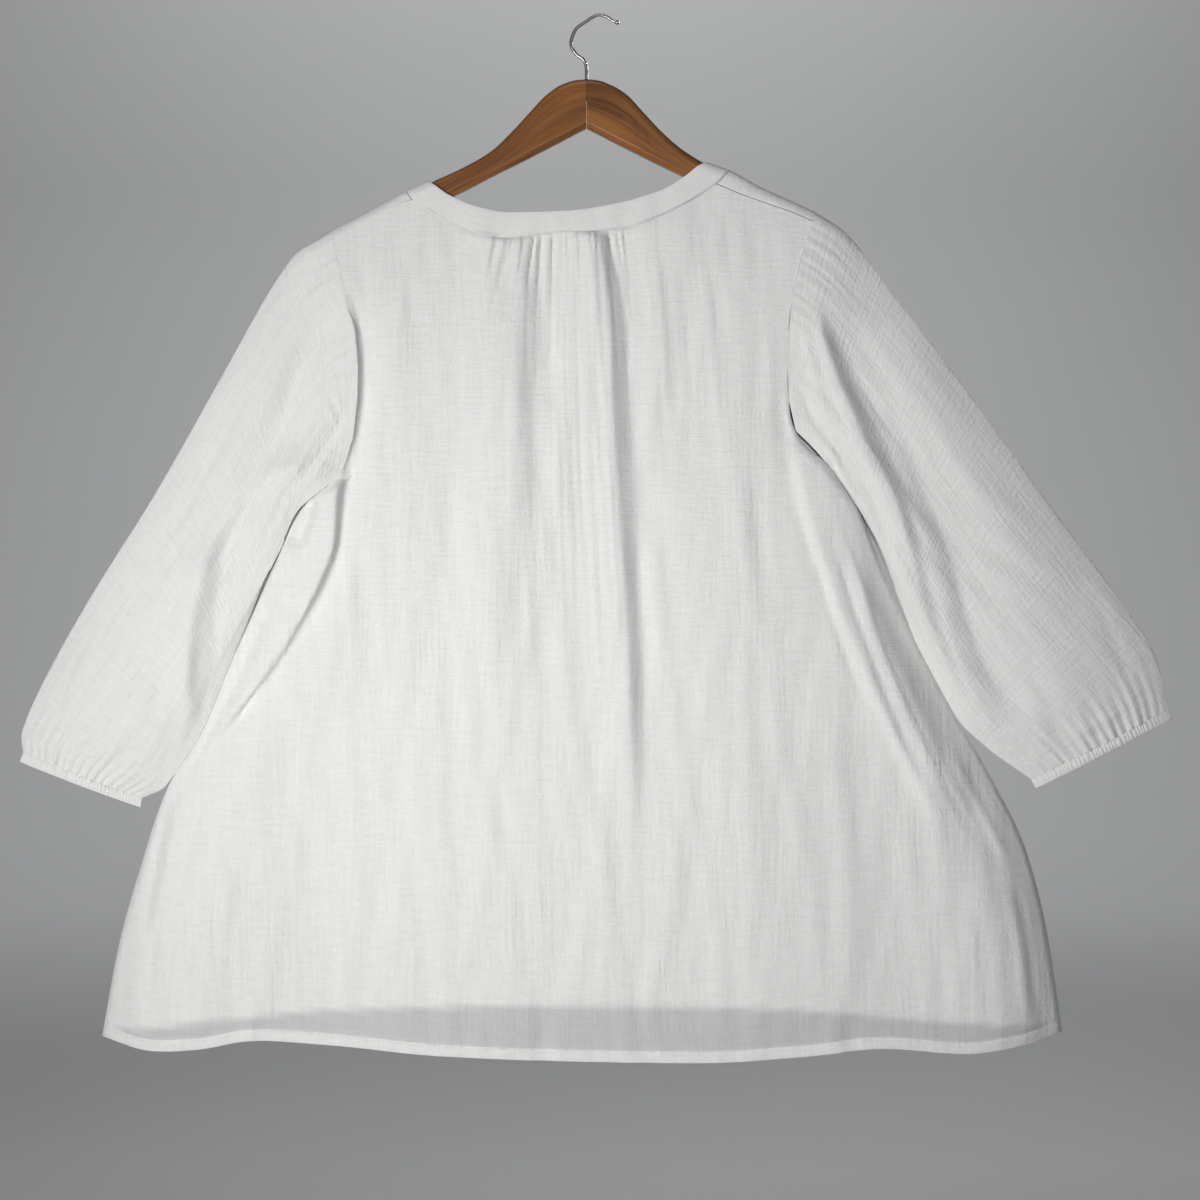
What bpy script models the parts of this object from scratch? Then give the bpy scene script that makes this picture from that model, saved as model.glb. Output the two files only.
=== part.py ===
# A split-neck top in white double gauze, hanging on a wooden hanger. Metres, +Z up.
# The garment's back looks along +Y, its wearer's left is at +X, and the origin is under the hook's wire.
# The tables are in millimetres: x runs to the wearer's left, drop is the distance below the origin.

from collections import namedtuple

import bmesh
import bpy
import numpy as np

MM = 0.001

# Cloth and seams, mm
CLOTH = 1.7
SEAM = 0.36
ROOF_ROUND = 10.0
SIDE_ROUND = 30.0
ARMHOLE_DEPTH = 14.0
ARMHOLE_TOP = 0.08
NECK_CORNER_GAP = 0.6
SLEEVE_CLEAR = 0.45
HEM_DEPTH = 8.5
HEM_PROUD = 0.6
ABOVE_HEM = 6.0
SIDE_FADE = 26.0
ROOF_FADE = 12.0

# Split in the centre of the front, mm
SPLIT_X = 15.4
SPLIT_TOP = 238.0
SPLIT_FOOT = 305.0
SPLIT_TOP_HALF = 3.0
SPLIT_FOOT_HALF = 1.4
NECK_TILT = 0.0676

# Gathers: how many, how high and how long
NECK_GATHERS = 15
NECK_GATHER_FROM = 77.0
NECK_GATHER_TO = -29.0
NECK_GATHER_HIGH = 2.3
SEWN_FLAT = 5.0
CAP_GATHERS = 10
CAP_GATHER_HIGH = 1.7
CUFF_GATHERS = 16
CUFF_GATHER_HIGH = 1.5
CUFF_RIB_HIGH = 0.8
CUFF_DEPTH = 9.5

# Hanger, mm
WOOD_HALF = 6.0
WOOD_CHAMFER = 5.0
WIRE_RADIUS = 1.4
STEM_CLEAR = 0.3

Edge = namedtuple("Edge", "place left_x left_drop right_x right_drop")
ARMHOLE = (
    Edge("shoulder tip", 211.0, 171.4, -190.0, 156.5),
    Edge("shoulder seam", 209.5, 181.0, -187.5, 165.0),
    Edge("cap", 204.0, 205.0, -180.5, 186.0),
    Edge("upper armhole", 196.5, 235.0, -172.5, 216.0),
    Edge("middle armhole", 190.5, 275.0, -167.0, 252.0),
    Edge("lower armhole", 191.5, 315.0, -166.0, 290.0),
    Edge("above the turn", 198.0, 352.0, -168.5, 325.0),
    Edge("turn", 210.0, 380.0, -180.0, 350.0),
    Edge("underarm", 231.0, 395.5, -201.0, 366.0),
)
SIDE = (
    Edge("underarm", 231.0, 395.5, -201.0, 366.0),
    Edge("top of the slit", 247.0, 419.0, -214.6, 385.0),
    Edge("slit", 256.5, 441.0, -226.0, 403.0),
    Edge("foot of the slit", 268.0, 468.0, -242.0, 444.0),
    Edge("ribs", 298.0, 538.0, -266.0, 500.0),
    Edge("waist", 320.0, 590.0, -299.0, 563.0),
    Edge("cuff level", 347.0, 633.0, -332.4, 619.6),
    Edge("hip", 371.0, 703.0, -364.0, 684.0),
    Edge("thigh", 387.0, 760.0, -381.0, 748.0),
    Edge("hem corner", 402.0, 839.5, -394.7, 835.5),
)
SHOULDER_LINE = (  # x, drop of the top of the shoulders, carried on to a peak over the neck
    (211.0, 171.4), (188.0, 159.8), (155.0, 141.6), (131.6, 130.7), (0.0, 69.0),
    (-100.8, 115.0), (-119.0, 121.8), (-144.0, 135.5), (-161.0, 143.2), (-190.0, 156.5),
)
SHOULDER_SEAM_LEFT = ((209.5, 181.0), (190.0, 168.5), (171.0, 157.5), (155.0, 150.5), (144.0, 147.3))
SHOULDER_SEAM_RIGHT = ((-107.5, 134.0), (-125.0, 141.5), (-150.0, 150.5), (-170.0, 157.5), (-187.5, 165.0))

Neck = namedtuple("Neck", "place seam_x seam_drop edge_x edge_drop")
NECK_BACK = (
    Neck("left top", 149.7, 138.8, 131.6, 130.7),
    Neck("left shoulder", 144.0, 147.3, 125.5, 135.5),
    Neck("left", 130.0, 155.6, 115.0, 143.0),
    Neck("left slope", 102.5, 170.6, 93.0, 152.8),
    Neck("left foot", 82.0, 178.2, 76.0, 156.8),
    Neck("gathers begin", 70.0, 178.6, 66.0, 158.0),
    Neck("centre", 20.0, 174.0, 20.0, 157.0),
    Neck("gathers end", -30.0, 171.4, -27.0, 150.2),
    Neck("right foot", -53.0, 163.9, -48.0, 144.5),
    Neck("right slope", -73.5, 154.8, -64.5, 138.5),
    Neck("right", -94.2, 143.2, -82.0, 128.0),
    Neck("right shoulder", -107.5, 134.0, -92.5, 119.5),
    Neck("right top", -119.0, 121.8, -100.8, 115.0),
)
FrontNeck = namedtuple("FrontNeck", "place seam_out seam_drop edge_out edge_drop")
NECK_FRONT = (  # measured outwards from the split, before the garment's tilt
    FrontNeck("top", 134.3, 130.0, 116.2, 122.9),
    FrontNeck("collarbone", 129.0, 144.0, 111.0, 136.0),
    FrontNeck("upper", 112.0, 161.0, 97.0, 148.0),
    FrontNeck("middle", 80.0, 193.0, 68.0, 177.0),
    FrontNeck("lower", 45.0, 222.0, 38.0, 204.0),
    FrontNeck("split", 3.0, 238.0, 3.0, 219.0),
)

Depth = namedtuple("Depth", "drop back front")
BODY_DEPTH = (
    Depth(120.0, 9.0, 9.0),
    Depth(180.0, 10.0, 10.0),
    Depth(240.0, 12.5, 12.5),
    Depth(320.0, 15.5, 15.5),
    Depth(400.0, 19.0, 19.0),
    Depth(500.0, 24.0, 23.0),
    Depth(600.0, 28.0, 27.0),
    Depth(720.0, 32.0, 31.0),
    Depth(860.0, 35.0, 34.0),
)
Hem = namedtuple("Hem", "x back_drop front_drop")
HEM = (
    Hem(402.0, 839.5, 839.5),
    Hem(354.0, 848.7, 836.0),
    Hem(320.0, 847.0, 831.0),
    Hem(271.0, 839.5, 826.0),
    Hem(205.0, 843.7, 821.0),
    Hem(122.0, 852.0, 818.0),
    Hem(22.0, 856.1, 817.0),
    Hem(-94.0, 857.8, 818.0),
    Hem(-177.0, 852.8, 821.0),
    Hem(-244.0, 846.2, 826.0),
    Hem(-310.0, 850.3, 831.0),
    Hem(-355.0, 845.0, 834.0),
    Hem(-394.7, 835.5, 835.5),
)

# Folds: a path of (x, drop) down the cloth, its height, and how far it spreads towards +X and -X
Fold = namedtuple("Fold", "place path height spread_left spread_right")
BACK_FOLDS = (
    Fold("centre ridge", ((-9.5, 184), (-16, 230), (-21, 312), (-27, 395), (-33, 478), (-36, 560)), 3.4, 15, 6),
    Fold("centre trough", ((-20, 184), (-27, 230), (-33, 312), (-39, 395), (-45, 478), (-48, 560)), -3.4, 5, 16),
    Fold("left soft ridge", ((72, 180), (64, 290), (58, 400)), 1.8, 12, 12),
    Fold("left side roll", ((213, 396), (216, 433), (228, 470), (246, 503), (271, 545), (296, 578), (325, 625)),
         8.0, 26, 9),
    Fold("right side roll", ((-176, 340), (-185, 395), (-198, 445), (-222, 512), (-259, 595), (-297, 668)),
         8.0, 9, 30),
    Fold("right second ridge", ((-219, 445), (-248, 520), (-293, 620), (-314, 670)), 3.0, 10, 10),
    Fold("left hollow", ((225, 560), (222, 690), (228, 812)), -5.0, 45, 45),
    Fold("right hollow", ((-240, 640), (-258, 720), (-268, 815)), -5.0, 35, 35),
    Fold("left hem ridge", ((300, 690), (312, 770), (318, 855)), 3.0, 24, 24),
    Fold("right hem ridge", ((-335, 690), (-350, 770), (-356, 855)), 3.0, 22, 22),
    Fold("right broad ridge", ((-125, 590), (-135, 700), (-140, 858)), 3.0, 40, 40),
    Fold("right top hollow", ((-78, 190), (-85, 290), (-88, 400)), -2.5, 24, 30),
)
FRONT_FOLDS = (
    Fold("left side roll", ((200, 385), (208, 440), (232, 500), (268, 580), (305, 650)), 6.0, 26, 12),
    Fold("right side roll", ((-170, 350), (-184, 410), (-212, 490), (-250, 580), (-290, 660)), 6.0, 12, 26),
    Fold("left bust ridge", ((95, 215), (108, 360), (120, 560), (130, 822)), 3.0, 30, 30),
    Fold("right bust ridge", ((-62, 215), (-78, 360), (-92, 560), (-100, 822)), 3.0, 30, 30),
    Fold("centre hollow", ((18, 330), (20, 520), (22, 820)), -3.5, 40, 40),
    Fold("left hollow", ((232, 560), (240, 690), (245, 828)), -5.0, 42, 42),
    Fold("right hollow", ((-215, 560), (-230, 690), (-238, 828)), -5.0, 42, 42),
)

Inner = namedtuple("Inner", "drop clear")
Sleeve = namedtuple("Sleeve", "hand outer inner cuff_outer cuff_inner folds")
LEFT_SLEEVE = Sleeve(
    1,
    ((211.0, 171.4), (225.0, 180.0), (240.0, 189.0), (254.0, 208.0), (300.0, 288.0), (356.0, 387.0),
     (418.0, 487.0), (454.0, 553.0), (465.0, 578.0), (469.0, 592.0), (467.7, 604.7)),
    (Inner(395.5, 0.45), Inner(410.0, 3.0), Inner(441.0, 8.0), Inner(468.0, 4.5), Inner(500.0, 1.2),
     Inner(560.0, 2.4), Inner(620.0, 2.4), Inner(634.0, 4.0), Inner(642.8, 17.7)),
    (470.5, 612.7),
    (370.0, 650.6),
    (
        Fold("over the armhole", ((206, 225), (203, 254), (202, 288), (207, 337), (222, 366)), 6.0, 36, 6),
        Fold("underarm roll", ((222, 366), (240, 376), (262, 384), (286, 400), (307, 429), (318, 454),
                               (325, 512), (334, 562), (343, 610)), 6.5, 26, 8),
        Fold("outer crease", ((395, 487), (418, 533), (435, 578)), 3.0, 9, 14),
    ),
)
RIGHT_SLEEVE = Sleeve(
    -1,
    ((-190.0, 156.5), (-213.0, 171.4), (-227.0, 187.0), (-240.0, 204.6), (-303.0, 287.6), (-352.0, 354.0),
     (-400.0, 420.5), (-449.0, 487.0), (-470.0, 520.0), (-480.0, 553.0), (-482.6, 569.0)),
    (Inner(366.0, 0.45), Inner(385.0, 1.2), Inner(403.0, 1.5), Inner(444.0, 5.0), Inner(489.0, 4.0),
     Inner(520.0, 1.8), Inner(575.0, 1.8), Inner(600.0, 10.0), Inner(627.0, 32.3)),
    (-486.0, 576.8),
    (-372.5, 635.0),
    (
        Fold("inner ridge", ((-200, 352), (-219, 368), (-244, 387), (-259, 402), (-268, 432), (-286, 495),
                             (-306, 545), (-340, 600)), 5.0, 10, 12),
        Fold("inner trough", ((-210, 300), (-246, 360), (-282, 410), (-318, 520), (-356, 590)), -4.0, 14, 24),
        Fold("crown ridge", ((-262, 262), (-330, 380), (-400, 490)), 3.0, 28, 28),
    ),
)
SLEEVE_DEPTH = ((0.0, 14.0), (0.2, 17.0), (0.5, 19.0), (0.8, 19.0), (0.94, 13.5), (1.0, 10.0))

Wood = namedtuple("Wood", "out left_top right_top under thin")
WOOD = (  # out from the joint: drop of the top on each side, of the underside, and share of the thickness
    Wood(0.15, 46.3, 46.3, 87.4, 1.0),
    Wood(8.0, 46.9, 46.9, 91.4, 1.0),
    Wood(21.0, 51.0, 51.4, 98.2, 1.0),
    Wood(33.0, 59.1, 58.7, 104.3, 1.0),
    Wood(47.0, 73.7, 73.4, 111.4, 1.0),
    Wood(62.0, 90.0, 89.4, 118.9, 1.0),
    Wood(79.0, 106.0, 104.3, 127.2, 1.0),
    Wood(97.0, 116.9, 115.6, 136.6, 1.0),
    Wood(131.6, 133.2, 131.8, 153.0, 0.97),
    Wood(155.0, 144.1, 143.4, 163.5, 0.92),
    Wood(186.0, 161.6, 158.2, 177.6, 0.80),
    Wood(194.5, 167.0, 164.8, 181.2, 0.66),
    Wood(198.0, 171.0, 169.5, 179.5, 0.40),
)
Wire = namedtuple("Wire", "place x drop thick")
WIRE = (
    Wire("foot in the wood", 0.0, 65.0, 1.0),
    Wire("neck", 0.0, 38.0, 1.0),
    Wire("first bend", 2.2, 30.6, 1.0),
    Wire("lower bow", 8.6, 25.6, 1.0),
    Wire("bow", 12.9, 17.0, 1.0),
    Wire("upper bow", 9.7, 6.2, 1.0),
    Wire("hanging point", 0.0, -1.75, 1.0),
    Wire("crown", -10.6, -7.2, 1.0),
    Wire("over the crown", -17.0, -5.4, 1.0),
    Wire("thin neck", -22.0, -2.2, 0.75),
    Wire("ball side", -24.0, -1.4, 1.25),
    Wire("ball", -25.6, -0.8, 1.45),
    Wire("ball end", -27.4, -0.2, 0.7),
)

# Rows of the body from the shoulder line, as shares of the armhole and of the side below it
FRONT_TOP_ROWS = (0.008, 0.022, 0.045)
ARMHOLE_ROWS = (0.125, 0.25, 0.37, 0.49, 0.62, 0.75, 0.87, 1.0)
SIDE_ROWS = (0.05, 0.10, 0.165, 0.24, 0.32, 0.40, 0.485, 0.57, 0.66, 0.75, 0.84, 0.93)
UNDERARM_ROW = 1 / 3
ROOF_ROWS = (0.05, 0.2, 0.5, 1.0)
ROOF_COLUMNS = (0.0, 0.08, 0.2, 0.36, 0.54, 0.72, 0.88, 1.0)
BODY_COLUMNS = (
    0.0, 0.006, 0.018, 0.036, 0.058, 0.078, 0.10, 0.135, 0.18, 0.23, 0.28, 0.33, 0.38, 0.43, 0.48, 0.525,
    0.552, 0.568, 0.58, 0.592, 0.61, 0.65, 0.70, 0.75, 0.80, 0.845, 0.88, 0.902, 0.924, 0.948, 0.968,
    0.983, 0.994, 1.0,
)
FRONT_COLUMNS = (
    0.0, 0.006, 0.018, 0.036, 0.06, 0.09, 0.13, 0.17, 0.22, 0.28, 0.34, 0.40, 0.45, 0.481, 0.496, 0.52,
    0.57, 0.63, 0.69, 0.75, 0.80, 0.85, 0.90, 0.935, 0.96, 0.98, 0.994, 1.0,
)


def smooth(knots, values):
    """A curve through the values that never swings past them, flat outside the first and last."""
    knots = np.asarray(knots, float)
    values = np.asarray(values, float)
    if knots[0] > knots[-1]:
        knots, values = knots[::-1], values[::-1]
    step = np.diff(knots)
    rise = np.diff(values) / step
    slope = np.zeros_like(values)
    before, after = rise[:-1], rise[1:]
    same = before * after > 0
    weight_a = 2 * step[1:] + step[:-1]
    weight_b = step[1:] + 2 * step[:-1]
    mean = (weight_a + weight_b) / (weight_a / np.where(same, before, 1) + weight_b / np.where(same, after, 1))
    slope[1:-1] = np.where(same, mean, 0)
    slope[0], slope[-1] = rise[0], rise[-1]

    def at(places):
        places = np.clip(np.asarray(places, float), knots[0], knots[-1])
        i = np.clip(np.searchsorted(knots, places, side="right") - 1, 0, len(step) - 1)
        t = (places - knots[i]) / step[i]
        return (
            (1 + 2 * t) * (1 - t) ** 2 * values[i]
            + t * (1 - t) ** 2 * step[i] * slope[i]
            + t * t * (3 - 2 * t) * values[i + 1]
            + t * t * (t - 1) * step[i] * slope[i + 1]
        )

    return at


def along(points):
    """A smooth path through points, as a function of the share of its length."""
    points = np.asarray(points, float)
    length = np.concatenate([[0], np.cumsum(np.linalg.norm(np.diff(points, axis=0), axis=1))])
    parts = [smooth(length / length[-1], points[:, i]) for i in range(points.shape[1])]
    return lambda share: np.stack([part(share) for part in parts], axis=-1)


def ease(share):
    """0 to 1 with level ends."""
    share = np.clip(share, 0, 1)
    return share * share * (3 - 2 * share)


def arch(share):
    """A quarter circle: 0 at the edge, 1 from one radius inwards."""
    return np.sqrt(np.clip(1 - (1 - np.clip(share, 0, 1)) ** 2, 0, 1))


def lens(share, power=2.3):
    """0 at both ends of the share and 1 in its middle, with round shoulders."""
    return np.clip(1 - np.abs(2 * np.asarray(share, float) - 1) ** power, 0, 1) ** (1 / power)


def uneven(number, least=0.6):
    """A steady stand-in for chance, from least to 1, for the gather of this number."""
    return least + (1 - least) * (0.5 + 0.5 * np.sin(number * 2.4 + 1.3 * np.sin(number * 1.7)))


ridge_line = smooth([x for x, _ in SHOULDER_LINE], [-drop for _, drop in SHOULDER_LINE])
back_depth = smooth([row.drop for row in BODY_DEPTH], [row.back for row in BODY_DEPTH])
front_depth = smooth([row.drop for row in BODY_DEPTH], [row.front for row in BODY_DEPTH])
back_hem = smooth([row.x for row in HEM], [-row.back_drop for row in HEM])
front_hem = smooth([row.x for row in HEM], [-row.front_drop for row in HEM])


def edge_x(z, hand):
    """x of the body's side edge at a height, hand 1 for the left and -1 for the right."""
    rows = ARMHOLE[:-1] + SIDE
    if hand > 0:
        return smooth([row.left_drop for row in rows], [row.left_x for row in rows])(-z)
    return smooth([row.right_drop for row in rows], [row.right_x for row in rows])(-z)


def edge_point(v, hand):
    """(x, z) of the side edge: v to UNDERARM_ROW goes down the armhole, the rest down the side seam."""
    first, turn, last = ARMHOLE[0], ARMHOLE[-1], SIDE[-1]
    drops = [(row.left_drop if hand > 0 else row.right_drop) for row in (first, turn, last)]
    z = -np.interp(v, (0, UNDERARM_ROW, 1), drops)
    return np.stack([edge_x(z, hand), z], axis=-1)


def armhole_depth(x, z):
    """Half depth of the armhole at this height on the nearer side: nothing from the underarm down."""
    tip = np.where(x > SPLIT_X, ARMHOLE[0].left_drop, ARMHOLE[0].right_drop)
    foot = np.where(x > SPLIT_X, ARMHOLE[-1].left_drop, ARMHOLE[-1].right_drop)
    share = np.clip((-z - tip) / (foot - tip), 0, 1)
    return ARMHOLE_DEPTH * lens(ARMHOLE_TOP + (1 - ARMHOLE_TOP) * share)


def fold_height(folds, x, z):
    """Sum of the folds: each a bell across its path that dies away at the path's ends."""
    places = np.stack([np.ravel(x), np.ravel(z)], axis=-1)
    total = np.zeros(len(places))
    for fold in folds:
        line = along(fold.path)(np.linspace(0, 1, 25))
        line[:, 1] *= -1
        start, step = line[:-1], np.diff(line, axis=0)
        to = places[:, None] - start
        share = np.clip((to * step).sum(-1) / (step * step).sum(-1), 0, 1)
        off = to - share[..., None] * step
        far = np.linalg.norm(off, axis=-1)
        near = far.argmin(axis=1)
        pick = np.arange(len(places))
        side = step[near, 0] * to[pick, near, 1] - step[near, 1] * to[pick, near, 0]
        spread = np.where(side > 0, fold.spread_left, fold.spread_right)
        place = (near + share[pick, near]) / len(step)
        fade = ease(place / 0.2) * ease((1 - place) / 0.2)
        total += fold.height * np.exp(-((far[pick, near] / spread) ** 2)) * fade
    return total.reshape(np.shape(x))


def neck_gather_places():
    """x of each gather in the back's neck edge, unevenly spaced, and of the low between it and the next."""
    number = np.arange(NECK_GATHERS)
    step = (NECK_GATHER_TO - NECK_GATHER_FROM) / (NECK_GATHERS - 1)
    tops = NECK_GATHER_FROM + step * (number + 0.22 * np.sin(number * 2.1))
    return tops, (tops[1:] + tops[:-1]) / 2


def neck_gather_height(x, z):
    """The small gathers that run down from the back's neck seam, each to its own length."""
    below = np.interp(x, [-150, -30, 70, 150], [-160, -171, -178, -160]) - z
    total = np.zeros(np.shape(x))
    for number, top in enumerate(neck_gather_places()[0]):
        long = 22 + 34 * uneven(number, 0.0)
        lean = (top - SPLIT_X) * 0.05 * below / long
        high = NECK_GATHER_HIGH * uneven(number) * np.clip(1 - below / long, 0, 1) * ease((below + 1) / SEWN_FLAT)
        total += high * np.exp(-(((x - top - lean) / 2.3) ** 2))
    return total


def body(x, z, side):
    """Outer and inner point of the body's wall at (x, z): side 1 is the back and -1 the front."""
    roof = np.clip(ridge_line(x) - z, 0, None)
    z = np.minimum(z, ridge_line(x))
    out = np.where(x > SPLIT_X, edge_x(z, 1) - x, x - edge_x(z, -1))
    over = arch(roof / ROOF_ROUND)
    turn = arch(out / SIDE_ROUND)
    armhole = armhole_depth(x, z)
    deep = back_depth(-z) if side > 0 else front_depth(-z)
    folds = fold_height(BACK_FOLDS if side > 0 else FRONT_FOLDS, x, z)
    if side > 0:
        folds = folds + neck_gather_height(x, z)
    y = over * (armhole + (deep - armhole) * turn) + folds * ease(out / SIDE_FADE) * ease(roof / ROOF_FADE)
    sewn = 1 - armhole / ARMHOLE_DEPTH
    y = np.where(roof > 0, np.maximum(y, SEAM / 2), y)
    inwards = CLOTH * (1 - np.clip(out / SIDE_ROUND, 0, 1)) * sewn
    outer = np.stack([x, side * y, z], axis=-1)
    wall = CLOTH * over * (turn + (1 - turn) * (1 - sewn))
    inner = np.stack(
        [
            x - np.where(x > SPLIT_X, 1, -1) * inwards,
            side * np.maximum(y - wall, np.minimum(y, SEAM / 2)),
            z - CLOTH * (1 - np.clip(roof / ROOF_ROUND, 0, 1)),
        ],
        axis=-1,
    )
    return outer, inner


def coons(top, bottom, left, right, u, v):
    """A patch between four edges: across by u from left to right, down by v."""
    u = np.asarray(u, float)[:, None]
    ends = (1 - u) * top(0.0) + u * top(1.0), (1 - u) * bottom(0.0) + u * bottom(1.0)
    return (
        (1 - v) * top(u[:, 0])
        + v * bottom(u[:, 0])
        + (1 - u) * left(v)
        + u * right(v)
        - (1 - v) * ends[0]
        - v * ends[1]
    )


class Skin:
    """Rows of wall points, and the triangles between them."""

    def __init__(self):
        self.outer, self.inner, self.triangles = [], [], []

    def row(self, places, outer, inner, kept=None):
        """Adds a row of points at places 0 to 1 across and returns it for zip. kept repeats an earlier point."""
        numbers = []
        for i in range(len(places)):
            if kept is not None and kept[i] >= 0:
                numbers.append(int(kept[i]))
                continue
            numbers.append(len(self.outer))
            self.outer.append(outer[i])
            self.inner.append(inner[i])
        return list(places), numbers

    def zip(self, upper, lower, ring=False):
        """Triangles between two rows, whatever their counts, stepping along the one that lags."""
        (up_at, up), (low_at, low) = upper, lower
        if ring:
            up_at, up = up_at + [up_at[0] + 1], up + up[:1]
            low_at, low = low_at + [low_at[0] + 1], low + low[:1]
        i = j = 0
        while i < len(up) - 1 or j < len(low) - 1:
            if j == len(low) - 1 or (i < len(up) - 1 and up_at[i + 1] <= low_at[j + 1] + 1e-9):
                self.triangles.append((up[i], low[j], up[i + 1]))
                i += 1
            else:
                self.triangles.append((up[i], low[j], low[j + 1]))
                j += 1

    def make(self, name, material, flip=False):
        """The closed wall as an object: both skins and the rims that join them."""
        count = len(self.outer)
        faces = [t[::-1] if flip else t for t in self.triangles if len(set(t)) == 3]
        edges = {(t[i], t[(i + 1) % 3]) for t in faces for i in range(3)}
        mesh = bmesh.new()
        points = [mesh.verts.new(np.asarray(p) * MM) for p in self.outer + self.inner]
        for a, b, c in faces:
            mesh.faces.new((points[a], points[b], points[c]))
            mesh.faces.new((points[c + count], points[b + count], points[a + count]))
        for a, b in edges:
            if (b, a) not in edges:
                mesh.faces.new((points[b], points[a], points[a + count]))
                mesh.faces.new((points[b], points[a + count], points[b + count]))
        return finish(name, mesh, material)


def finish(name, mesh, material):
    """Turns a bmesh into a named, smooth-shaded object of the scene."""
    data = bpy.data.meshes.new(name)
    mesh.to_mesh(data)
    mesh.free()
    data.materials.append(material)
    data.shade_smooth()
    data.set_sharp_from_angle(angle=np.radians(50))
    made = bpy.data.objects.new(name, data)
    bpy.context.scene.collection.objects.link(made)
    return made


def material_of(name, colour, roughness, metallic=0.0):
    material = bpy.data.materials.new(name)
    material.use_nodes = True
    shader = material.node_tree.nodes["Principled BSDF"]
    shader.inputs["Base Color"].default_value = (*colour, 1)
    shader.inputs["Roughness"].default_value = roughness
    shader.inputs["Metallic"].default_value = metallic
    return material


def row_shares(first):
    """The rows of a panel as v, from its top edge at first down to the top of the hem."""
    shares = [UNDERARM_ROW * share for share in ARMHOLE_ROWS]
    shares += [UNDERARM_ROW + (1 - UNDERARM_ROW) * share for share in SIDE_ROWS]
    return [share for share in shares if share > first + 0.004]


def add_hem(skin, last_row, columns, hem, side):
    """The turned hem: a step proud of the panel along its lower edge, which closes the panel."""
    left, right = SIDE[-1].left_x, SIDE[-1].right_x
    x = left + (right - left) * np.asarray(columns)
    above = last_row
    for lift, proud in ((HEM_DEPTH + 0.5, 0.0), (HEM_DEPTH, HEM_PROUD), (0.0, HEM_PROUD)):
        level = hem(x) + lift * ease(np.minimum(x - right, left - x) / 12 + 0.4)
        inset = np.clip(x, edge_x(level, -1), edge_x(level, 1))
        outer, inner = body(inset, level, side)
        outer[:, 1] += side * proud * (np.minimum(x - right, left - x) > 1)
        row = skin.row(columns, outer, inner)
        skin.zip(above, row)
        above = row


def back_neck_xs():
    """x of the columns in the back's neck edge: every gather's top and low, and steady steps beside them."""
    tops, lows = neck_gather_places()
    beside = [140, 134, 127, 119, 111, 103, 95, 88, 82, -36, -43, -50, -57, -65, -73, -81, -89, -97, -103]
    return np.array(sorted({*np.round(tops, 3), *np.round(lows, 3), *beside}, reverse=True), float)


def neck_back_lines():
    """z of the back's neck seam by x, from one shoulder seam to the other."""
    rows = NECK_BACK[1:-1]
    return smooth([row.seam_x for row in rows], [-row.seam_drop for row in rows])


def shoulder_seam(points):
    return smooth([x for x, _ in points], [-drop for _, drop in points])


def make_back(material):
    neck = neck_back_lines()
    left_seam, right_seam = shoulder_seam(SHOULDER_SEAM_LEFT), shoulder_seam(SHOULDER_SEAM_RIGHT)
    left_x, right_x = SHOULDER_SEAM_LEFT[0][0], SHOULDER_SEAM_RIGHT[-1][0]
    left_neck, right_neck = SHOULDER_SEAM_LEFT[-1][0], SHOULDER_SEAM_RIGHT[0][0]
    first = UNDERARM_ROW * (ARMHOLE[1].left_drop - ARMHOLE[0].left_drop) / (
        ARMHOLE[-1].left_drop - ARMHOLE[0].left_drop
    )

    def top(u):
        x = left_x + (right_x - left_x) * np.asarray(u, float)
        z = np.where(x >= left_neck, left_seam(x), np.where(x <= right_neck, right_seam(x), neck(x) - SEAM))
        return np.stack([x, z], axis=-1)

    def bottom(u):
        x = SIDE[-1].left_x + (SIDE[-1].right_x - SIDE[-1].left_x) * np.asarray(u, float)
        return np.stack([x, back_hem(x) + HEM_DEPTH + ABOVE_HEM * ease(np.minimum(u, 1 - u) / 0.02)], axis=-1)

    def side_line(hand):
        return lambda v: edge_point(first + (1 - first) * v, hand)

    def points(u, v):
        places = coons(top, bottom, side_line(1), side_line(-1), u, v)
        return body(places[:, 0], places[:, 1], 1)

    shoulders = roof_seam(1)
    others = roof_seam(-1)[::-1]
    dense = (left_x - np.concatenate([shoulders, back_neck_xs(), others])) / (left_x - right_x)
    skin = Skin()
    above = None
    shares = [first, *(UNDERARM_ROW * s for s in (0.065, 0.10, 0.15, 0.20)), *row_shares(UNDERARM_ROW * 0.20)]
    for number, share in enumerate(shares):
        columns = dense if number < 4 else np.array(BODY_COLUMNS)
        v = (share - first) / (1 - first)
        row = skin.row(columns, *points(columns, v))
        if above:
            skin.zip(above, row)
        above = row
    add_hem(skin, above, np.array(BODY_COLUMNS), back_hem, 1)
    return skin.make("back", material)


def front_neck(hand, share, line):
    """(x, z) of the front's neck seam or of the band's upper edge, from the shoulder's top to the split."""
    if line == "seam":
        points = [(row.seam_out, -row.seam_drop) for row in NECK_FRONT]
    else:
        points = [(row.edge_out, -row.edge_drop) for row in NECK_FRONT]
    place = along(points)(share)
    return np.stack(
        [SPLIT_X + hand * place[..., 0], place[..., 1] - hand * NECK_TILT * place[..., 0]], axis=-1
    )


def neck_shares():
    """Shares along the front's neck: close where the band rolls over the shoulder's top."""
    return np.concatenate([np.array([0, 0.012, 0.035, 0.07, 0.12]), np.linspace(0.2, 1, 9)])


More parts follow.
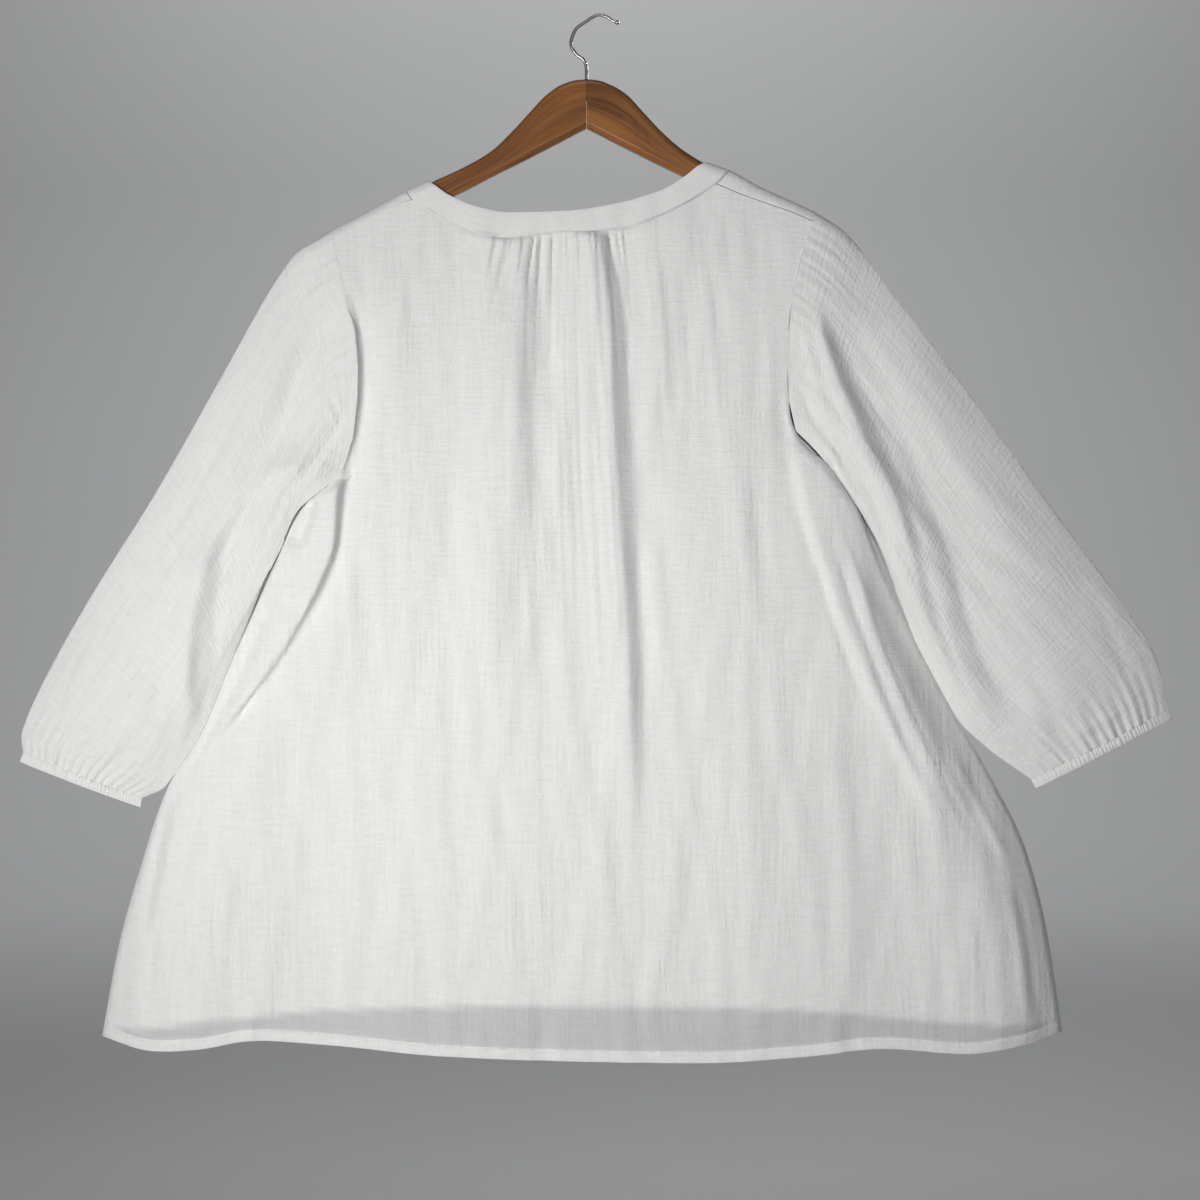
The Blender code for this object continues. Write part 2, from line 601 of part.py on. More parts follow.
def make_front(material):
    """The front: a strip over each shoulder from the seam on the back, then the panel with its split."""
    neck_at = {1: 0.153, -1: 0.772}
    split_at = {1: 0.4815, -1: 0.4965}
    ends = {1: ARMHOLE[0].left_x, -1: ARMHOLE[0].right_x}
    crossing = {hand: front_neck(hand, 0.0, "seam")[0] + hand * SEAM for hand in (1, -1)}

    def neck_edge(hand, share):
        place = front_neck(hand, share, "seam")
        steep = 1 - ease(np.asarray(share) / 0.25)
        place[..., 0] += hand * SEAM * steep
        place[..., 1] -= SEAM * ease(np.asarray(share) / 0.12)
        return place

    def top(u):
        u = np.asarray(u, float)
        left_x = np.interp(u, (0, neck_at[1]), (ends[1], crossing[1]))
        right_x = np.interp(u, (neck_at[-1], 1), (crossing[-1], ends[-1]))
        left_share = (u - neck_at[1]) / (split_at[1] - neck_at[1])
        right_share = (neck_at[-1] - u) / (neck_at[-1] - split_at[-1])
        on_left = np.where(
            (u < neck_at[1])[..., None],
            np.stack([left_x, ridge_line(left_x)], axis=-1),
            neck_edge(1, np.clip(left_share, 0, 1)),
        )
        on_right = np.where(
            (u > neck_at[-1])[..., None],
            np.stack([right_x, ridge_line(right_x)], axis=-1),
            neck_edge(-1, np.clip(right_share, 0, 1)),
        )
        return np.where((u < 0.489)[..., None], on_left, on_right)

    def bottom(u):
        x = SIDE[-1].left_x + (SIDE[-1].right_x - SIDE[-1].left_x) * np.asarray(u, float)
        return np.stack([x, front_hem(x) + HEM_DEPTH + ABOVE_HEM * ease(np.minimum(u, 1 - u) / 0.02)], axis=-1)

    def points(u, v):
        u = np.asarray(u, float)
        places = coons(top, bottom, lambda s: edge_point(s, 1), lambda s: edge_point(s, -1), u, v)
        half = np.interp(-places[:, 1], (SPLIT_TOP, SPLIT_FOOT), (SPLIT_TOP_HALF, SPLIT_FOOT_HALF))
        for hand in (1, -1):
            beside = np.abs(u - split_at[hand]) < 1e-6
            keep = ease((-places[:, 1] - SPLIT_FOOT) / 200)
            places[:, 0] = np.where(beside, (1 - keep) * (SPLIT_X + hand * half) + keep * places[:, 0], places[:, 0])
        return body(places[:, 0], places[:, 1], -1)

    necks = neck_shares()
    roof = ROOF_COLUMNS[:-1]
    left_top = [neck_at[1] * share for share in roof]
    left_top += [neck_at[1] + (split_at[1] - neck_at[1]) * share for share in necks]
    right_top = [neck_at[-1] - (neck_at[-1] - split_at[-1]) * share for share in necks[::-1]]
    right_top += [1 - (1 - neck_at[-1]) * share for share in roof[::-1]]
    columns = np.array(FRONT_COLUMNS)
    columns[13], columns[14] = split_at[1], split_at[-1]
    skin = Skin()
    slot_row = (SPLIT_FOOT - SPLIT_TOP) / (-float(front_hem(SPLIT_X)) - HEM_DEPTH - ABOVE_HEM - SPLIT_TOP)
    shares = [0.0, *(UNDERARM_ROW * s for s in FRONT_TOP_ROWS), 0.03, 0.07, slot_row]
    above = None
    for number, v in enumerate(shares):
        if number < 4:
            halves = [np.array(left_top), np.array(right_top)]
        else:
            halves = [columns[:14], columns[14:]]
        rows = [skin.row(half, *points(half, v)) for half in halves]
        if number == 0:
            shoulder_rows = rows
        if above:
            for i in (0, 1):
                skin.zip(above[i], rows[i])
        above = rows
    above = (above[0][0] + above[1][0], above[0][1] + above[1][1])
    for v in row_shares(slot_row + 0.01):
        row = skin.row(columns, *points(columns, v))
        skin.zip(above, row)
        above = row
    add_hem(skin, above, columns, front_hem, -1)
    count = len(ROOF_COLUMNS)
    left_places, left_numbers = shoulder_rows[0]
    right_places, right_numbers = shoulder_rows[1]
    add_roof(skin, 1, SHOULDER_SEAM_LEFT, (left_places[:count], left_numbers[:count]))
    add_roof(skin, -1, SHOULDER_SEAM_RIGHT, (right_places[-count:], right_numbers[-count:]))
    return skin.make("front", material, flip=True)


def over_neck(hand, share):
    """(x, z) where the back's neck seam goes from the shoulder's top, share 0, to the shoulder seam, share 1."""
    whole = along([(row.seam_x, -row.seam_drop) for row in NECK_BACK])
    fine = whole(np.linspace(0, 1, 2001))
    shoulder = NECK_BACK[1 if hand > 0 else -2].seam_x
    reached = np.abs(fine[:, 0] - shoulder).argmin() / 2000
    return whole(share * reached if hand > 0 else 1 - share * (1 - reached))


def roof_columns(hand):
    """x of the shoulder's columns on its top line, from the armhole to the neck, and how near each is to the neck."""
    tip = ARMHOLE[0].left_x if hand > 0 else ARMHOLE[0].right_x
    neck = front_neck(hand, 0.0, "seam")[0] + hand * SEAM
    x = tip + (neck - tip) * np.array(ROOF_COLUMNS)
    return x, ease(1 - np.abs(x - neck) / 16)


def roof_seam(hand):
    """x of the same columns on the shoulder seam, as the back's top corners have them."""
    x, near_neck = roof_columns(hand)
    shift = over_neck(hand, 1.0)[0] - front_neck(hand, 0.0, "seam")[0]
    x = x + near_neck * shift
    tip = ARMHOLE[1].left_x if hand > 0 else ARMHOLE[1].right_x
    return np.minimum(x, tip) if hand > 0 else np.maximum(x, tip)


def add_roof(skin, hand, seam, below):
    """The strip of the front that goes over the shoulder to the seam on the back."""
    top_x, near_neck = roof_columns(hand)
    seam_x = roof_seam(hand)
    seam_line = shoulder_seam(seam)
    places = below[0]
    for share in ROOF_ROWS:
        edge = over_neck(hand, share)
        by_neck = edge[0] + hand * NECK_CORNER_GAP
        x = (1 - near_neck) * (top_x + share * (seam_x - top_x)) + near_neck * (by_neck + top_x - top_x[-1])
        straight = ridge_line(x) - share * (ridge_line(x) - seam_line(x) - SEAM)
        z = straight + near_neck * (edge[1] + share * SEAM - straight[-1])
        x = np.minimum(x, edge_x(z, 1)) if hand > 0 else np.maximum(x, edge_x(z, -1))
        outer, inner = body(x, z, 1)
        if hand < 0:
            outer, inner = outer[::-1], inner[::-1]
        row = skin.row(places, outer, inner)
        skin.zip(row, below)
        below = row


def make_neckband(material):
    """One band: from the split up the left front, round the back and down the right front to the split."""
    skin = Skin()
    shares = neck_shares()
    back_seam = along([(row.seam_x, -row.seam_drop) for row in NECK_BACK])
    back_edge = along([(row.edge_x, -row.edge_drop) for row in NECK_BACK])
    xs = back_neck_xs()
    neck = neck_back_lines()
    fine = back_seam(np.linspace(0, 1, 4001))
    inside = np.interp(-xs[::2], -fine[:, 0], np.linspace(0, 1, 4001))
    sections = []

    def edge_beside(seam):
        return back_edge(np.abs(fine - seam).sum(axis=1).argmin() / 4000)

    for share in shares[::-1]:
        sections.append((front_neck(1, share, "seam"), front_neck(1, share, "edge"), -1, share == 0))
    for share in ROOF_ROWS:
        seam = over_neck(1, share)
        sections.append((seam, edge_beside(seam), 1, False))
    for x, share in zip(xs[::2], inside):
        sections.append((np.array([x, float(neck(x))]), back_edge(share), 1, False))
    for share in ROOF_ROWS[::-1]:
        seam = over_neck(-1, share)
        sections.append((seam, edge_beside(seam), 1, False))
    for share in shares:
        sections.append((front_neck(-1, share, "seam"), front_neck(-1, share, "edge"), -1, share == 0))
    across = (1.0, 0.5, 0.0)
    lines = [[], [], []]
    for seam, edge, side, crossing in sections:
        for number, share in enumerate(across):
            place = (1 - share) * seam + share * edge
            z = ridge_line(place[0]) if crossing else place[1]
            lines[number].append(body(place[0], z, side))
    places = np.linspace(0, 1, len(sections))
    above = None
    for line in lines:
        row = skin.row(places, [np.ravel(pair[0]) for pair in line], [np.ravel(pair[1]) for pair in line])
        if above:
            skin.zip(above, row)
        above = row
    return skin.make("neckband", material)


def armhole_line(hand):
    """The armhole as the panels' own corners, moved out by the seam, as a function of the share of its length."""
    shares = [0.0, *FRONT_TOP_ROWS, 0.065, 0.09, *ARMHOLE_ROWS]
    corners = edge_point(UNDERARM_ROW * np.array(shares), hand)
    way = np.gradient(corners, axis=0)
    way /= np.linalg.norm(way, axis=1)[:, None]
    moved = corners + SLEEVE_CLEAR * np.stack([-way[:, 1], way[:, 0]], axis=-1) * hand
    length = np.concatenate([[0], np.cumsum(np.linalg.norm(np.diff(moved, axis=0), axis=1))])
    length /= length[-1]
    line = lambda s: np.stack([np.interp(s, length, moved[:, i]) for i in (0, 1)], axis=-1)
    edge = lambda s: np.stack([np.interp(s, length, corners[:, i]) for i in (0, 1)], axis=-1)
    return line, edge, length


def make_sleeve(sleeve, name, material):
    """A sleeve as rings between its outer and inner edge, gathered at the cap and into the cuff."""
    hand = sleeve.hand
    armhole, body_edge, corners = armhole_line(hand)
    outer = along([(x, -drop) for x, drop in sleeve.outer])
    inner_drops = [row.drop for row in sleeve.inner]
    clear = smooth(inner_drops, [row.clear for row in sleeve.inner])
    wide = np.linspace(inner_drops[0], inner_drops[-1], 80)
    inner = along(np.stack([edge_x(-wide, hand) + hand * clear(wide), -wide], axis=-1))
    depth = smooth([w for w, _ in SLEEVE_DEPTH], [d for _, d in SLEEVE_DEPTH])

    def outer_line(w):
        start = np.clip(1 - np.asarray(w) / 0.02, 0, 1)[..., None]
        return outer(w) + start * (armhole(0.0) - outer(0.0))

    def inner_line(w):
        start = np.clip(1 - np.asarray(w) / 0.02, 0, 1)[..., None]
        return inner(w) + start * (armhole(1.0) - inner(0.0))

    def foot(s):
        return outer(1.0) + np.asarray(s)[..., None] * (inner(1.0) - outer(1.0))

    def place(s, w):
        return coons(armhole, foot, outer_line, inner_line, s, w)

    def cap_gathers(s, w, side):
        total = np.zeros(np.shape(s))
        for number in range(CAP_GATHERS):
            at = 0.035 + 0.042 * number + 0.008 * np.sin(number * 2.3 + side)
            long = 0.06 + 0.10 * uneven(number + 3 * side, 0.2)
            total += CAP_GATHER_HIGH * uneven(number + side) * np.clip(1 - w / long, 0, 1) * np.exp(
                -(((s - at) / 0.011) ** 2)
            )
        return total

    def cuff_gathers(s, w, side):
        number = np.floor(s * CUFF_GATHERS)
        long = 0.08 + 0.06 * uneven(number + 5 * side, 0.0)
        high = CUFF_GATHER_HIGH * uneven(number + 2 * side) * np.clip(1 - (1 - w) / long, 0, 1)
        return high * (0.5 - 0.5 * np.cos(2 * np.pi * s * CUFF_GATHERS))

    def points(s, w, side):
        """Outer and inner wall points of the ring at w, on the back (side 1) or the front."""
        s = np.asarray(s, float)
        xz = place(s, w)
        reach = np.linalg.norm(place(np.array([1.0]), w) - place(np.array([0.0]), w))
        inset = place(s + CLOTH / reach * (1 - 2 * s), w)
        at_body = body_edge(s)
        seam_y = np.abs(body(at_body[:, 0], at_body[:, 1], 1)[0][:, 1])
        blend = ease(w / 0.13)
        y = (1 - blend) * np.maximum(seam_y, 1.2 * lens(s)) + blend * depth(w) * lens(s, 2.2)
        share = 1.0 if side > 0 else 0.6
        waves = share * fold_height(sleeve.folds, xz[:, 0], xz[:, 1]) * ease(w / 0.03)
        waves += cap_gathers(s, w, side) + cuff_gathers(s, w, side)
        roof = arch((ridge_line(at_body[:, 0]) - at_body[:, 1]) / ROOF_ROUND)
        ends = (1 - blend) * np.where(s < 0.5, np.maximum(roof, lens(s)), lens(s)) + blend * lens(s, 2.2)
        wall = CLOTH * ends
        y = np.maximum(y + waves * lens(s, 2.2), wall + 0.9 * lens(s))
        return (
            np.stack([xz[:, 0], side * y, xz[:, 1]], axis=-1),
            np.stack([inset[:, 0], side * (y - wall), inset[:, 1]], axis=-1),
        )

    cap = np.array([0.035 + 0.021 * number for number in range(2 * CAP_GATHERS)])
    dense_cap = np.array(sorted({0.0, 0.004, 0.014, *np.round(cap, 4), *np.round(corners[1:], 4), 0.985}))
    plain = np.array([0, 0.007, 0.03, 0.07, 0.13, 0.2, 0.29, 0.38, 0.47, 0.56, 0.65, 0.74, 0.82, 0.89, 0.945, 0.985, 1])
    cuff = np.array(sorted({*np.arange(2 * CUFF_GATHERS + 1) / (2 * CUFF_GATHERS), 0.006, 0.994}))
    rings = (
        [(w, dense_cap) for w in (0.0, 0.022, 0.055)]
        + [(w, plain) for w in (0.10, 0.16, 0.23, 0.31, 0.40, 0.49, 0.58, 0.67, 0.76, 0.84)]
        + [(w, cuff) for w in (0.90, 0.955, 1.0)]
    )
    skin = Skin()
    above = None
    for w, columns in rings:
        row = ring_row(skin, columns, lambda s, side: points(s, w, side))
        if above:
            skin.zip(above, row, ring=True)
        above = row
    return skin.make(name, material, flip=hand < 0)


def ring_row(skin, columns, points):
    """A closed row: along the back from the outer edge to the inner, then home along the front."""
    there_outer, there_inner = points(columns, 1)
    home = columns[1:-1][::-1]
    home_outer, home_inner = points(home, -1)
    places = np.concatenate([columns / 2, 1 - home / 2])
    return skin.row(places, np.concatenate([there_outer, home_outer]), np.concatenate([there_inner, home_inner]))


def make_cuff(sleeve, name, material):
    """The elastic casing: a ring under the sleeve's end, ribbed outside and plain inside."""
    top_outer = np.array([sleeve.outer[-1][0], -sleeve.outer[-1][1]])
    last = sleeve.inner[-1]
    top_inner = np.array([float(edge_x(-last.drop, sleeve.hand)) + sleeve.hand * last.clear, -last.drop])
    foot_outer = np.array([sleeve.cuff_outer[0], -sleeve.cuff_outer[1]])
    foot_inner = np.array([sleeve.cuff_inner[0], -sleeve.cuff_inner[1]])
    down = (foot_outer + foot_inner - top_outer - top_inner) / 2
    down /= np.linalg.norm(down)
    reach = np.linalg.norm(top_inner - top_outer)
    columns = np.array(sorted({*np.arange(2 * CUFF_GATHERS + 1) / (2 * CUFF_GATHERS), 0.006, 0.994}))

    def points(s, t, side):
        def place(share):
            start = top_outer + share[:, None] * (top_inner - top_outer) + down * SEAM
            end = foot_outer + share[:, None] * (foot_inner - foot_outer)
            return (1 - t) * start + t * end

        rib = CUFF_RIB_HIGH * (0.5 - 0.5 * np.cos(2 * np.pi * s * CUFF_GATHERS))
        swell = 0.9 * np.sin(np.pi * t)
        y = (CUFF_DEPTH + swell) * lens(s, 2.2) + rib * lens(s, 2.2)
        xz, inset = place(s), place(s + CLOTH / reach * (1 - 2 * s))
        return (
            np.stack([xz[:, 0], side * y, xz[:, 1]], axis=-1),
            np.stack([inset[:, 0], side * (CUFF_DEPTH - CLOTH) * lens(s, 2.2), inset[:, 1]], axis=-1),
        )

    skin = Skin()
    above = None
    for t in (0.0, 0.5, 1.0):
        row = ring_row(skin, columns, lambda s, side: points(s, t, side))
        if above:
            skin.zip(above, row, ring=True)
        above = row
    return skin.make(name, material, flip=sleeve.hand < 0)


def make_arm(hand, name, material):
    """Half of the hanger: sections with a round top and chamfered lower edges, from the joint to the tip."""
    mesh = bmesh.new()
    rings = []
    for row in WOOD:
        top = -(row.left_top if hand > 0 else row.right_top)
        under = -row.under - (1.2 if hand > 0 else -0.8) * row.out / 198
        half = WOOD_HALF * row.thin
        round_top = min(half, (top - under) * 0.45)
        cut = min(WOOD_CHAMFER, (top - under) * 0.3)
        profile = [(0.0, top)]
        profile += [(half * np.sin(a), top - round_top * (1 - np.cos(a))) for a in np.radians((28, 58, 90))]
        profile += [(half, under + cut), (half * 0.5, under)]
        profile += [(-y, z) for y, z in profile[:0:-1]]
        rings.append([mesh.verts.new((hand * row.out * MM, y * MM, z * MM)) for y, z in profile])
    for ring, following in zip(rings[:-1], rings[1:]):
        for i in range(len(ring)):
            j = (i + 1) % len(ring)
            mesh.faces.new((ring[i], ring[j], following[j], following[i]))
    mesh.faces.new(rings[0][::-1])
    mesh.faces.new(rings[-1])
    bmesh.ops.recalc_face_normals(mesh, faces=mesh.faces)
    arm = finish(name, mesh, material)
    bore = arm.modifiers.new("stem hole", "BOOLEAN")
    bore.operation = "DIFFERENCE"
    bore.object = bpy.data.objects["stem_cutter"]
    return arm


def make_cutter():
    """The hole for the hook's stem, half in each arm."""
    bpy.ops.mesh.primitive_cylinder_add(
        vertices=12, radius=(WIRE_RADIUS + STEM_CLEAR) * MM, depth=30 * MM, location=(0, 0, (-65.3 + 15) * MM)
    )
    cutter = bpy.context.object
    cutter.name = "stem_cutter"
    cutter.hide_render = True
    cutter.display_type = "WIRE"


def make_hook(material):
    """The hook: one bent wire with a thinned neck and a ball end."""
    path = along([(row.x, -row.drop, row.thick) for row in WIRE])
    samples = path(np.linspace(0, 1, 36))
    data = bpy.data.curves.new("hanger_hook", "CURVE")
    data.dimensions = "3D"
    data.bevel_depth = WIRE_RADIUS * MM
    data.bevel_resolution = 2
    data.use_fill_caps = True
    spline = data.splines.new("POLY")
    spline.points.add(len(samples) - 1)
    for point, (x, z, thick) in zip(spline.points, samples):
        point.co = (x * MM, 0, z * MM, 1)
        point.radius = thick
    data.materials.append(material)
    hook = bpy.data.objects.new("hanger_hook", data)
    bpy.context.scene.collection.objects.link(hook)
    return hook


def main():
    for old in list(bpy.data.objects):
        bpy.data.objects.remove(old)
    gauze = material_of("white gauze", (0.86, 0.86, 0.84), 0.9)
    wood = material_of("varnished wood", (0.34, 0.14, 0.045), 0.35)
    steel = material_of("steel wire", (0.60, 0.58, 0.55), 0.3, metallic=1.0)
    make_back(gauze)
    make_front(gauze)
    make_neckband(gauze)
    for sleeve, name in ((LEFT_SLEEVE, "left"), (RIGHT_SLEEVE, "right")):
        make_sleeve(sleeve, f"sleeve_{name}", gauze)
        make_cuff(sleeve, f"cuff_{name}", gauze)
    make_cutter()
    make_arm(1, "hanger_arm_left", wood)
    make_arm(-1, "hanger_arm_right", wood)
    make_hook(steel)


main()
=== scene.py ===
# Dresses the split-neck top: crinkled gauze panels, sleeves, cuffs, neckband and stitching,
# with the varnished wooden hanger and its wire hook.
# The tables are in millimetres: x runs to the wearer's left, drop is the distance below the hook's wire,
# and the garment's back looks along +Y.

import bpy
import numpy as np
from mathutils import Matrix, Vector


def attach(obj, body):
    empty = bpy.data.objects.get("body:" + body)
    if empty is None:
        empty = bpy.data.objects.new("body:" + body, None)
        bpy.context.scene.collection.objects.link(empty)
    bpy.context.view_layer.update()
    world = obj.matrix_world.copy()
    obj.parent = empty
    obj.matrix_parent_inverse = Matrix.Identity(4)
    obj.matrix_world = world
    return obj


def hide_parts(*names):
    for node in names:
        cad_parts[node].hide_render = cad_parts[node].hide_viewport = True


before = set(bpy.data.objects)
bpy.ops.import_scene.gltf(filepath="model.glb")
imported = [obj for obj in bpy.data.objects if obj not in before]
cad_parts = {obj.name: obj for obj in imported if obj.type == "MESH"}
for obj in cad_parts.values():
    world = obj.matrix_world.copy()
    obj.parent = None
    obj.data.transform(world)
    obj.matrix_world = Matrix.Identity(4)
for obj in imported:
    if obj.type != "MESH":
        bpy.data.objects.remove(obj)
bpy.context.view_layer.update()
millimetre = 0.001


# ---- curves and small shapes


def smooth(knots, values):
    # A curve through the values that never swings past them (a monotone cubic), held level outside.
    knots, values = np.asarray(knots, float), np.asarray(values, float)
    if knots[0] > knots[-1]:
        knots, values = knots[::-1], values[::-1]
    step = np.diff(knots)
    rise = np.diff(values) / step
    slope = np.zeros_like(values)
    before, after = rise[:-1], rise[1:]
    same = before * after > 0
    heavy, light = 2 * step[1:] + step[:-1], step[1:] + 2 * step[:-1]
    mean = (heavy + light) / (heavy / np.where(same, before, 1) + light / np.where(same, after, 1))
    slope[1:-1] = np.where(same, mean, 0)
    slope[0], slope[-1] = rise[0], rise[-1]

    def at(places):
        places = np.clip(np.asarray(places, float), knots[0], knots[-1])
        i = np.clip(np.searchsorted(knots, places, side="right") - 1, 0, len(step) - 1)
        t = (places - knots[i]) / step[i]
        return (
            (1 + 2 * t) * (1 - t) ** 2 * values[i]
            + t * (1 - t) ** 2 * step[i] * slope[i]
            + t * t * (3 - 2 * t) * values[i + 1]
            + t * t * (t - 1) * step[i] * slope[i + 1]
        )

    return at


def runLength(points):
    # Length along a line of points, from 0 at the first.
    return np.concatenate([[0], np.cumsum(np.linalg.norm(np.diff(points, axis=0), axis=1))])


def unit(ways):
    return ways / np.linalg.norm(ways, axis=-1)[..., None]


def heightBy(rows, column=1):
    # Height by x, from rows of x and drops.
    return smooth(rows[:, 0], -rows[:, column])


def along(points):
    # A smooth path through points, as a function of the share of its length.
    points = np.asarray(points, float)
    length = runLength(points)
    parts = [smooth(length / length[-1], points[:, i]) for i in range(points.shape[1])]
    return lambda share: np.stack([part(share) for part in parts], axis=-1)


def ease(share):
    # 0 to 1 with level ends: 3t^2 - 2t^3.
    share = np.clip(share, 0, 1)
    return share * share * (3 - 2 * share)


def arch(share):
    # A quarter circle: 0 at the edge, 1 from one radius inwards.
    return np.sqrt(np.clip(1 - (1 - np.clip(share, 0, 1)) ** 2, 0, 1))


def lens(share, power=2.3):
    # 0 at both ends and 1 in the middle, with round shoulders: (1 - |2s - 1|^p)^(1/p).
    return np.clip(1 - np.abs(2 * np.asarray(share, float) - 1) ** power, 0, 1) ** (1 / power)


def leaf(share):
    # A flat lens with narrow ends: mostly a parabola, with a small round at each fold.
    share = np.asarray(share, float)
    return 0.12 * lens(share, 2.2) + 0.88 * (1 - (2 * share - 1) ** 2)


def uneven(number, least=0.6):
    # A steady stand-in for chance, from least to 1.
    return least + (1 - least) * (0.5 + 0.5 * np.sin(number * 2.4 + 1.3 * np.sin(number * 1.7)))


def spaced(*runs):
    # One rising list of places from runs of (from, to, how many steps).
    parts = [np.linspace(low, high, count, endpoint=False) for low, high, count in runs]
    return np.concatenate([*parts, [runs[-1][1]]])


longFold = 400  # from this length on, a fold fades slowly at its lower end


def field(folds, x, z):
    # Height and sideways lean of all folds at (x, z). A fold is a path down the cloth, its height, its spread
    # towards +X and -X and its lean: a bell across the path that fades over a fifth of its length, 40 mm at most,
    # at each end, and over three tenths at the lower end of a long one.
    x, z = np.broadcast_arrays(np.asarray(x, float), np.asarray(z, float))
    flatX, flatZ = x.ravel(), z.ravel()
    height, leanX, leanZ = np.zeros(flatX.size), np.zeros(flatX.size), np.zeros(flatX.size)
    for path, high, spreadLeft, spreadRight, *lean in folds:
        line = along(path)(np.linspace(0, 1, 25))
        line[:, 1] *= -1
        reach = 2.6 * max(spreadLeft, spreadRight)
        length = np.linalg.norm(np.diff(line, axis=0), axis=1).sum()
        end = min(0.2, 40 / length)
        foot = 0.3 if length > longFold else end
        low, top = line.min(axis=0) - reach, line.max(axis=0) + reach
        pick = np.flatnonzero((flatX > low[0]) & (flatX < top[0]) & (flatZ > low[1]) & (flatZ < top[1]))
        if not len(pick):
            continue
        start, step = line[:-1], np.diff(line, axis=0)
        to = np.stack([flatX[pick], flatZ[pick]], axis=-1)[:, None] - start
        share = np.clip((to * step).sum(-1) / (step * step).sum(-1), 0, 1)
        far = np.linalg.norm(to - share[..., None] * step, axis=-1)
        near = far.argmin(axis=1)
        row = np.arange(len(pick))
        turn = step[near, 0] * to[row, near, 1] - step[near, 1] * to[row, near, 0]
        spread = np.where(turn > 0, spreadLeft, spreadRight)
        place = (near + share[row, near]) / len(step)
        bell = np.exp(-((far[row, near] / spread) ** 2)) * ease(place / end) * ease((1 - place) / foot)
        height[pick] += high * bell
        if lean:
            way = unit(step[near])
            leanX[pick] -= lean[0] * bell * way[:, 1]
            leanZ[pick] += lean[0] * bell * way[:, 0]
    return height.reshape(x.shape), leanX.reshape(x.shape), leanZ.reshape(x.shape)


def fan(first, last, count, high, spread):
    # Creases laid side by side from the first path to the last, each a little different in height and length.
    first, last = np.array(first, float), np.array(last, float)
    made = []
    for i in range(count):
        share = (i + 0.3 * np.sin(2.3 * i)) / (count - 1)
        path = (1 - share) * first + share * last
        path = path + (path - path.mean(axis=0)) * 0.2 * np.sin(1.7 * i)
        made.append((path, high * uneven(i, 0.5), spread, spread))
    return made


def crumple(across, down, number):
    # Soft unevenness of cloth that hangs: twelve waves that mostly change across the grain, each bent by the last.
    total, bend = 0.0, 0.0
    for i in range(12):
        long = 150 / (1 + 0.62 * i)
        slant = 0.22 * np.sin(number + 2.1 * i)
        wave = np.sin(2 * np.pi * (across + slant * down + bend) / long + number * 1.9 + 1.3 * i)
        bend = bend + 3.0 * np.sin(down / (38 + 9 * i) + number + i)
        total = total + wave * (0.34 - 0.02 * i)
    return total * 0.8


# ---- the cut of the garment: the same lines as the solids have

cut = {
    "wall": 1.7,  # the solids' wall, which this cloth stays inside
    "thread": 0.8,  # thickness of the double gauze here
    "seam": 0.03,
    "roofRound": 10.0,
    "sideFlat": 70.0,
    "armholeDeep": 14.0,
    "armholeTop": 0.08,
    "sleeveClear": 0.06,
    "hemDeep": 8.5,
    "hemProud": 0.6,
    "aboveHem": 6.0,
    "underarmRow": 1 / 3,
    "neckTilt": 0.0676,
}
split = {"x": 15.4, "top": 238.0, "foot": 305.0, "topHalf": 3.0, "footHalf": 1.4}

# Each row is left x, left drop, right x, right drop
armhole = np.array([
    (211.0, 171.4, -190.0, 156.5), (209.5, 181.0, -187.5, 165.0), (204.0, 205.0, -180.5, 186.0),
    (196.5, 235.0, -172.5, 216.0), (190.5, 275.0, -167.0, 252.0), (191.5, 315.0, -166.0, 290.0),
    (198.0, 352.0, -168.5, 325.0), (210.0, 380.0, -180.0, 350.0), (231.0, 395.5, -201.0, 366.0),
])
sideSeam = np.array([
    (231.0, 395.5, -201.0, 366.0), (247.0, 419.0, -214.6, 385.0), (256.5, 441.0, -226.0, 403.0),
    (268.0, 468.0, -242.0, 444.0), (298.0, 538.0, -266.0, 500.0), (320.0, 590.0, -299.0, 563.0),
    (347.0, 633.0, -332.4, 619.6), (371.0, 703.0, -364.0, 684.0), (387.0, 760.0, -381.0, 748.0),
    (402.0, 839.5, -394.7, 835.5),
])
shoulderLine = np.array([
    (211.0, 171.4), (188.0, 159.8), (155.0, 141.6), (131.6, 130.7), (0.0, 69.0),
    (-100.8, 115.0), (-119.0, 121.8), (-144.0, 135.5), (-161.0, 143.2), (-190.0, 156.5),
])
shoulderSeam = {
    1: np.array([(209.5, 181.0), (190.0, 168.5), (171.0, 157.5), (155.0, 150.5), (144.0, 147.3)]),
    -1: np.array([(-107.5, 134.0), (-125.0, 141.5), (-150.0, 150.5), (-170.0, 157.5), (-187.5, 165.0)]),
}
# Back neck: seam x, seam drop, edge x, edge drop
neckBack = np.array([
    (149.7, 138.8, 131.6, 130.7), (144.0, 147.3, 125.5, 135.5), (130.0, 155.6, 115.0, 143.0),
    (102.5, 170.6, 93.0, 152.8), (82.0, 178.2, 76.0, 156.8), (70.0, 178.6, 66.0, 158.0),
    (20.0, 174.0, 20.0, 157.0), (-30.0, 171.4, -27.0, 150.2), (-53.0, 163.9, -48.0, 144.5),
    (-73.5, 154.8, -64.5, 138.5), (-94.2, 143.2, -82.0, 128.0), (-107.5, 134.0, -92.5, 119.5),
    (-119.0, 121.8, -100.8, 115.0),
])
# Front neck, out from the split: seam out, seam drop, edge out, edge drop
neckFront = np.array([
    (134.3, 130.0, 116.2, 122.9), (129.0, 144.0, 111.0, 136.0), (112.0, 161.0, 97.0, 148.0),
    (80.0, 193.0, 68.0, 177.0), (45.0, 222.0, 38.0, 204.0), (3.0, 238.0, 3.0, 219.0),
])
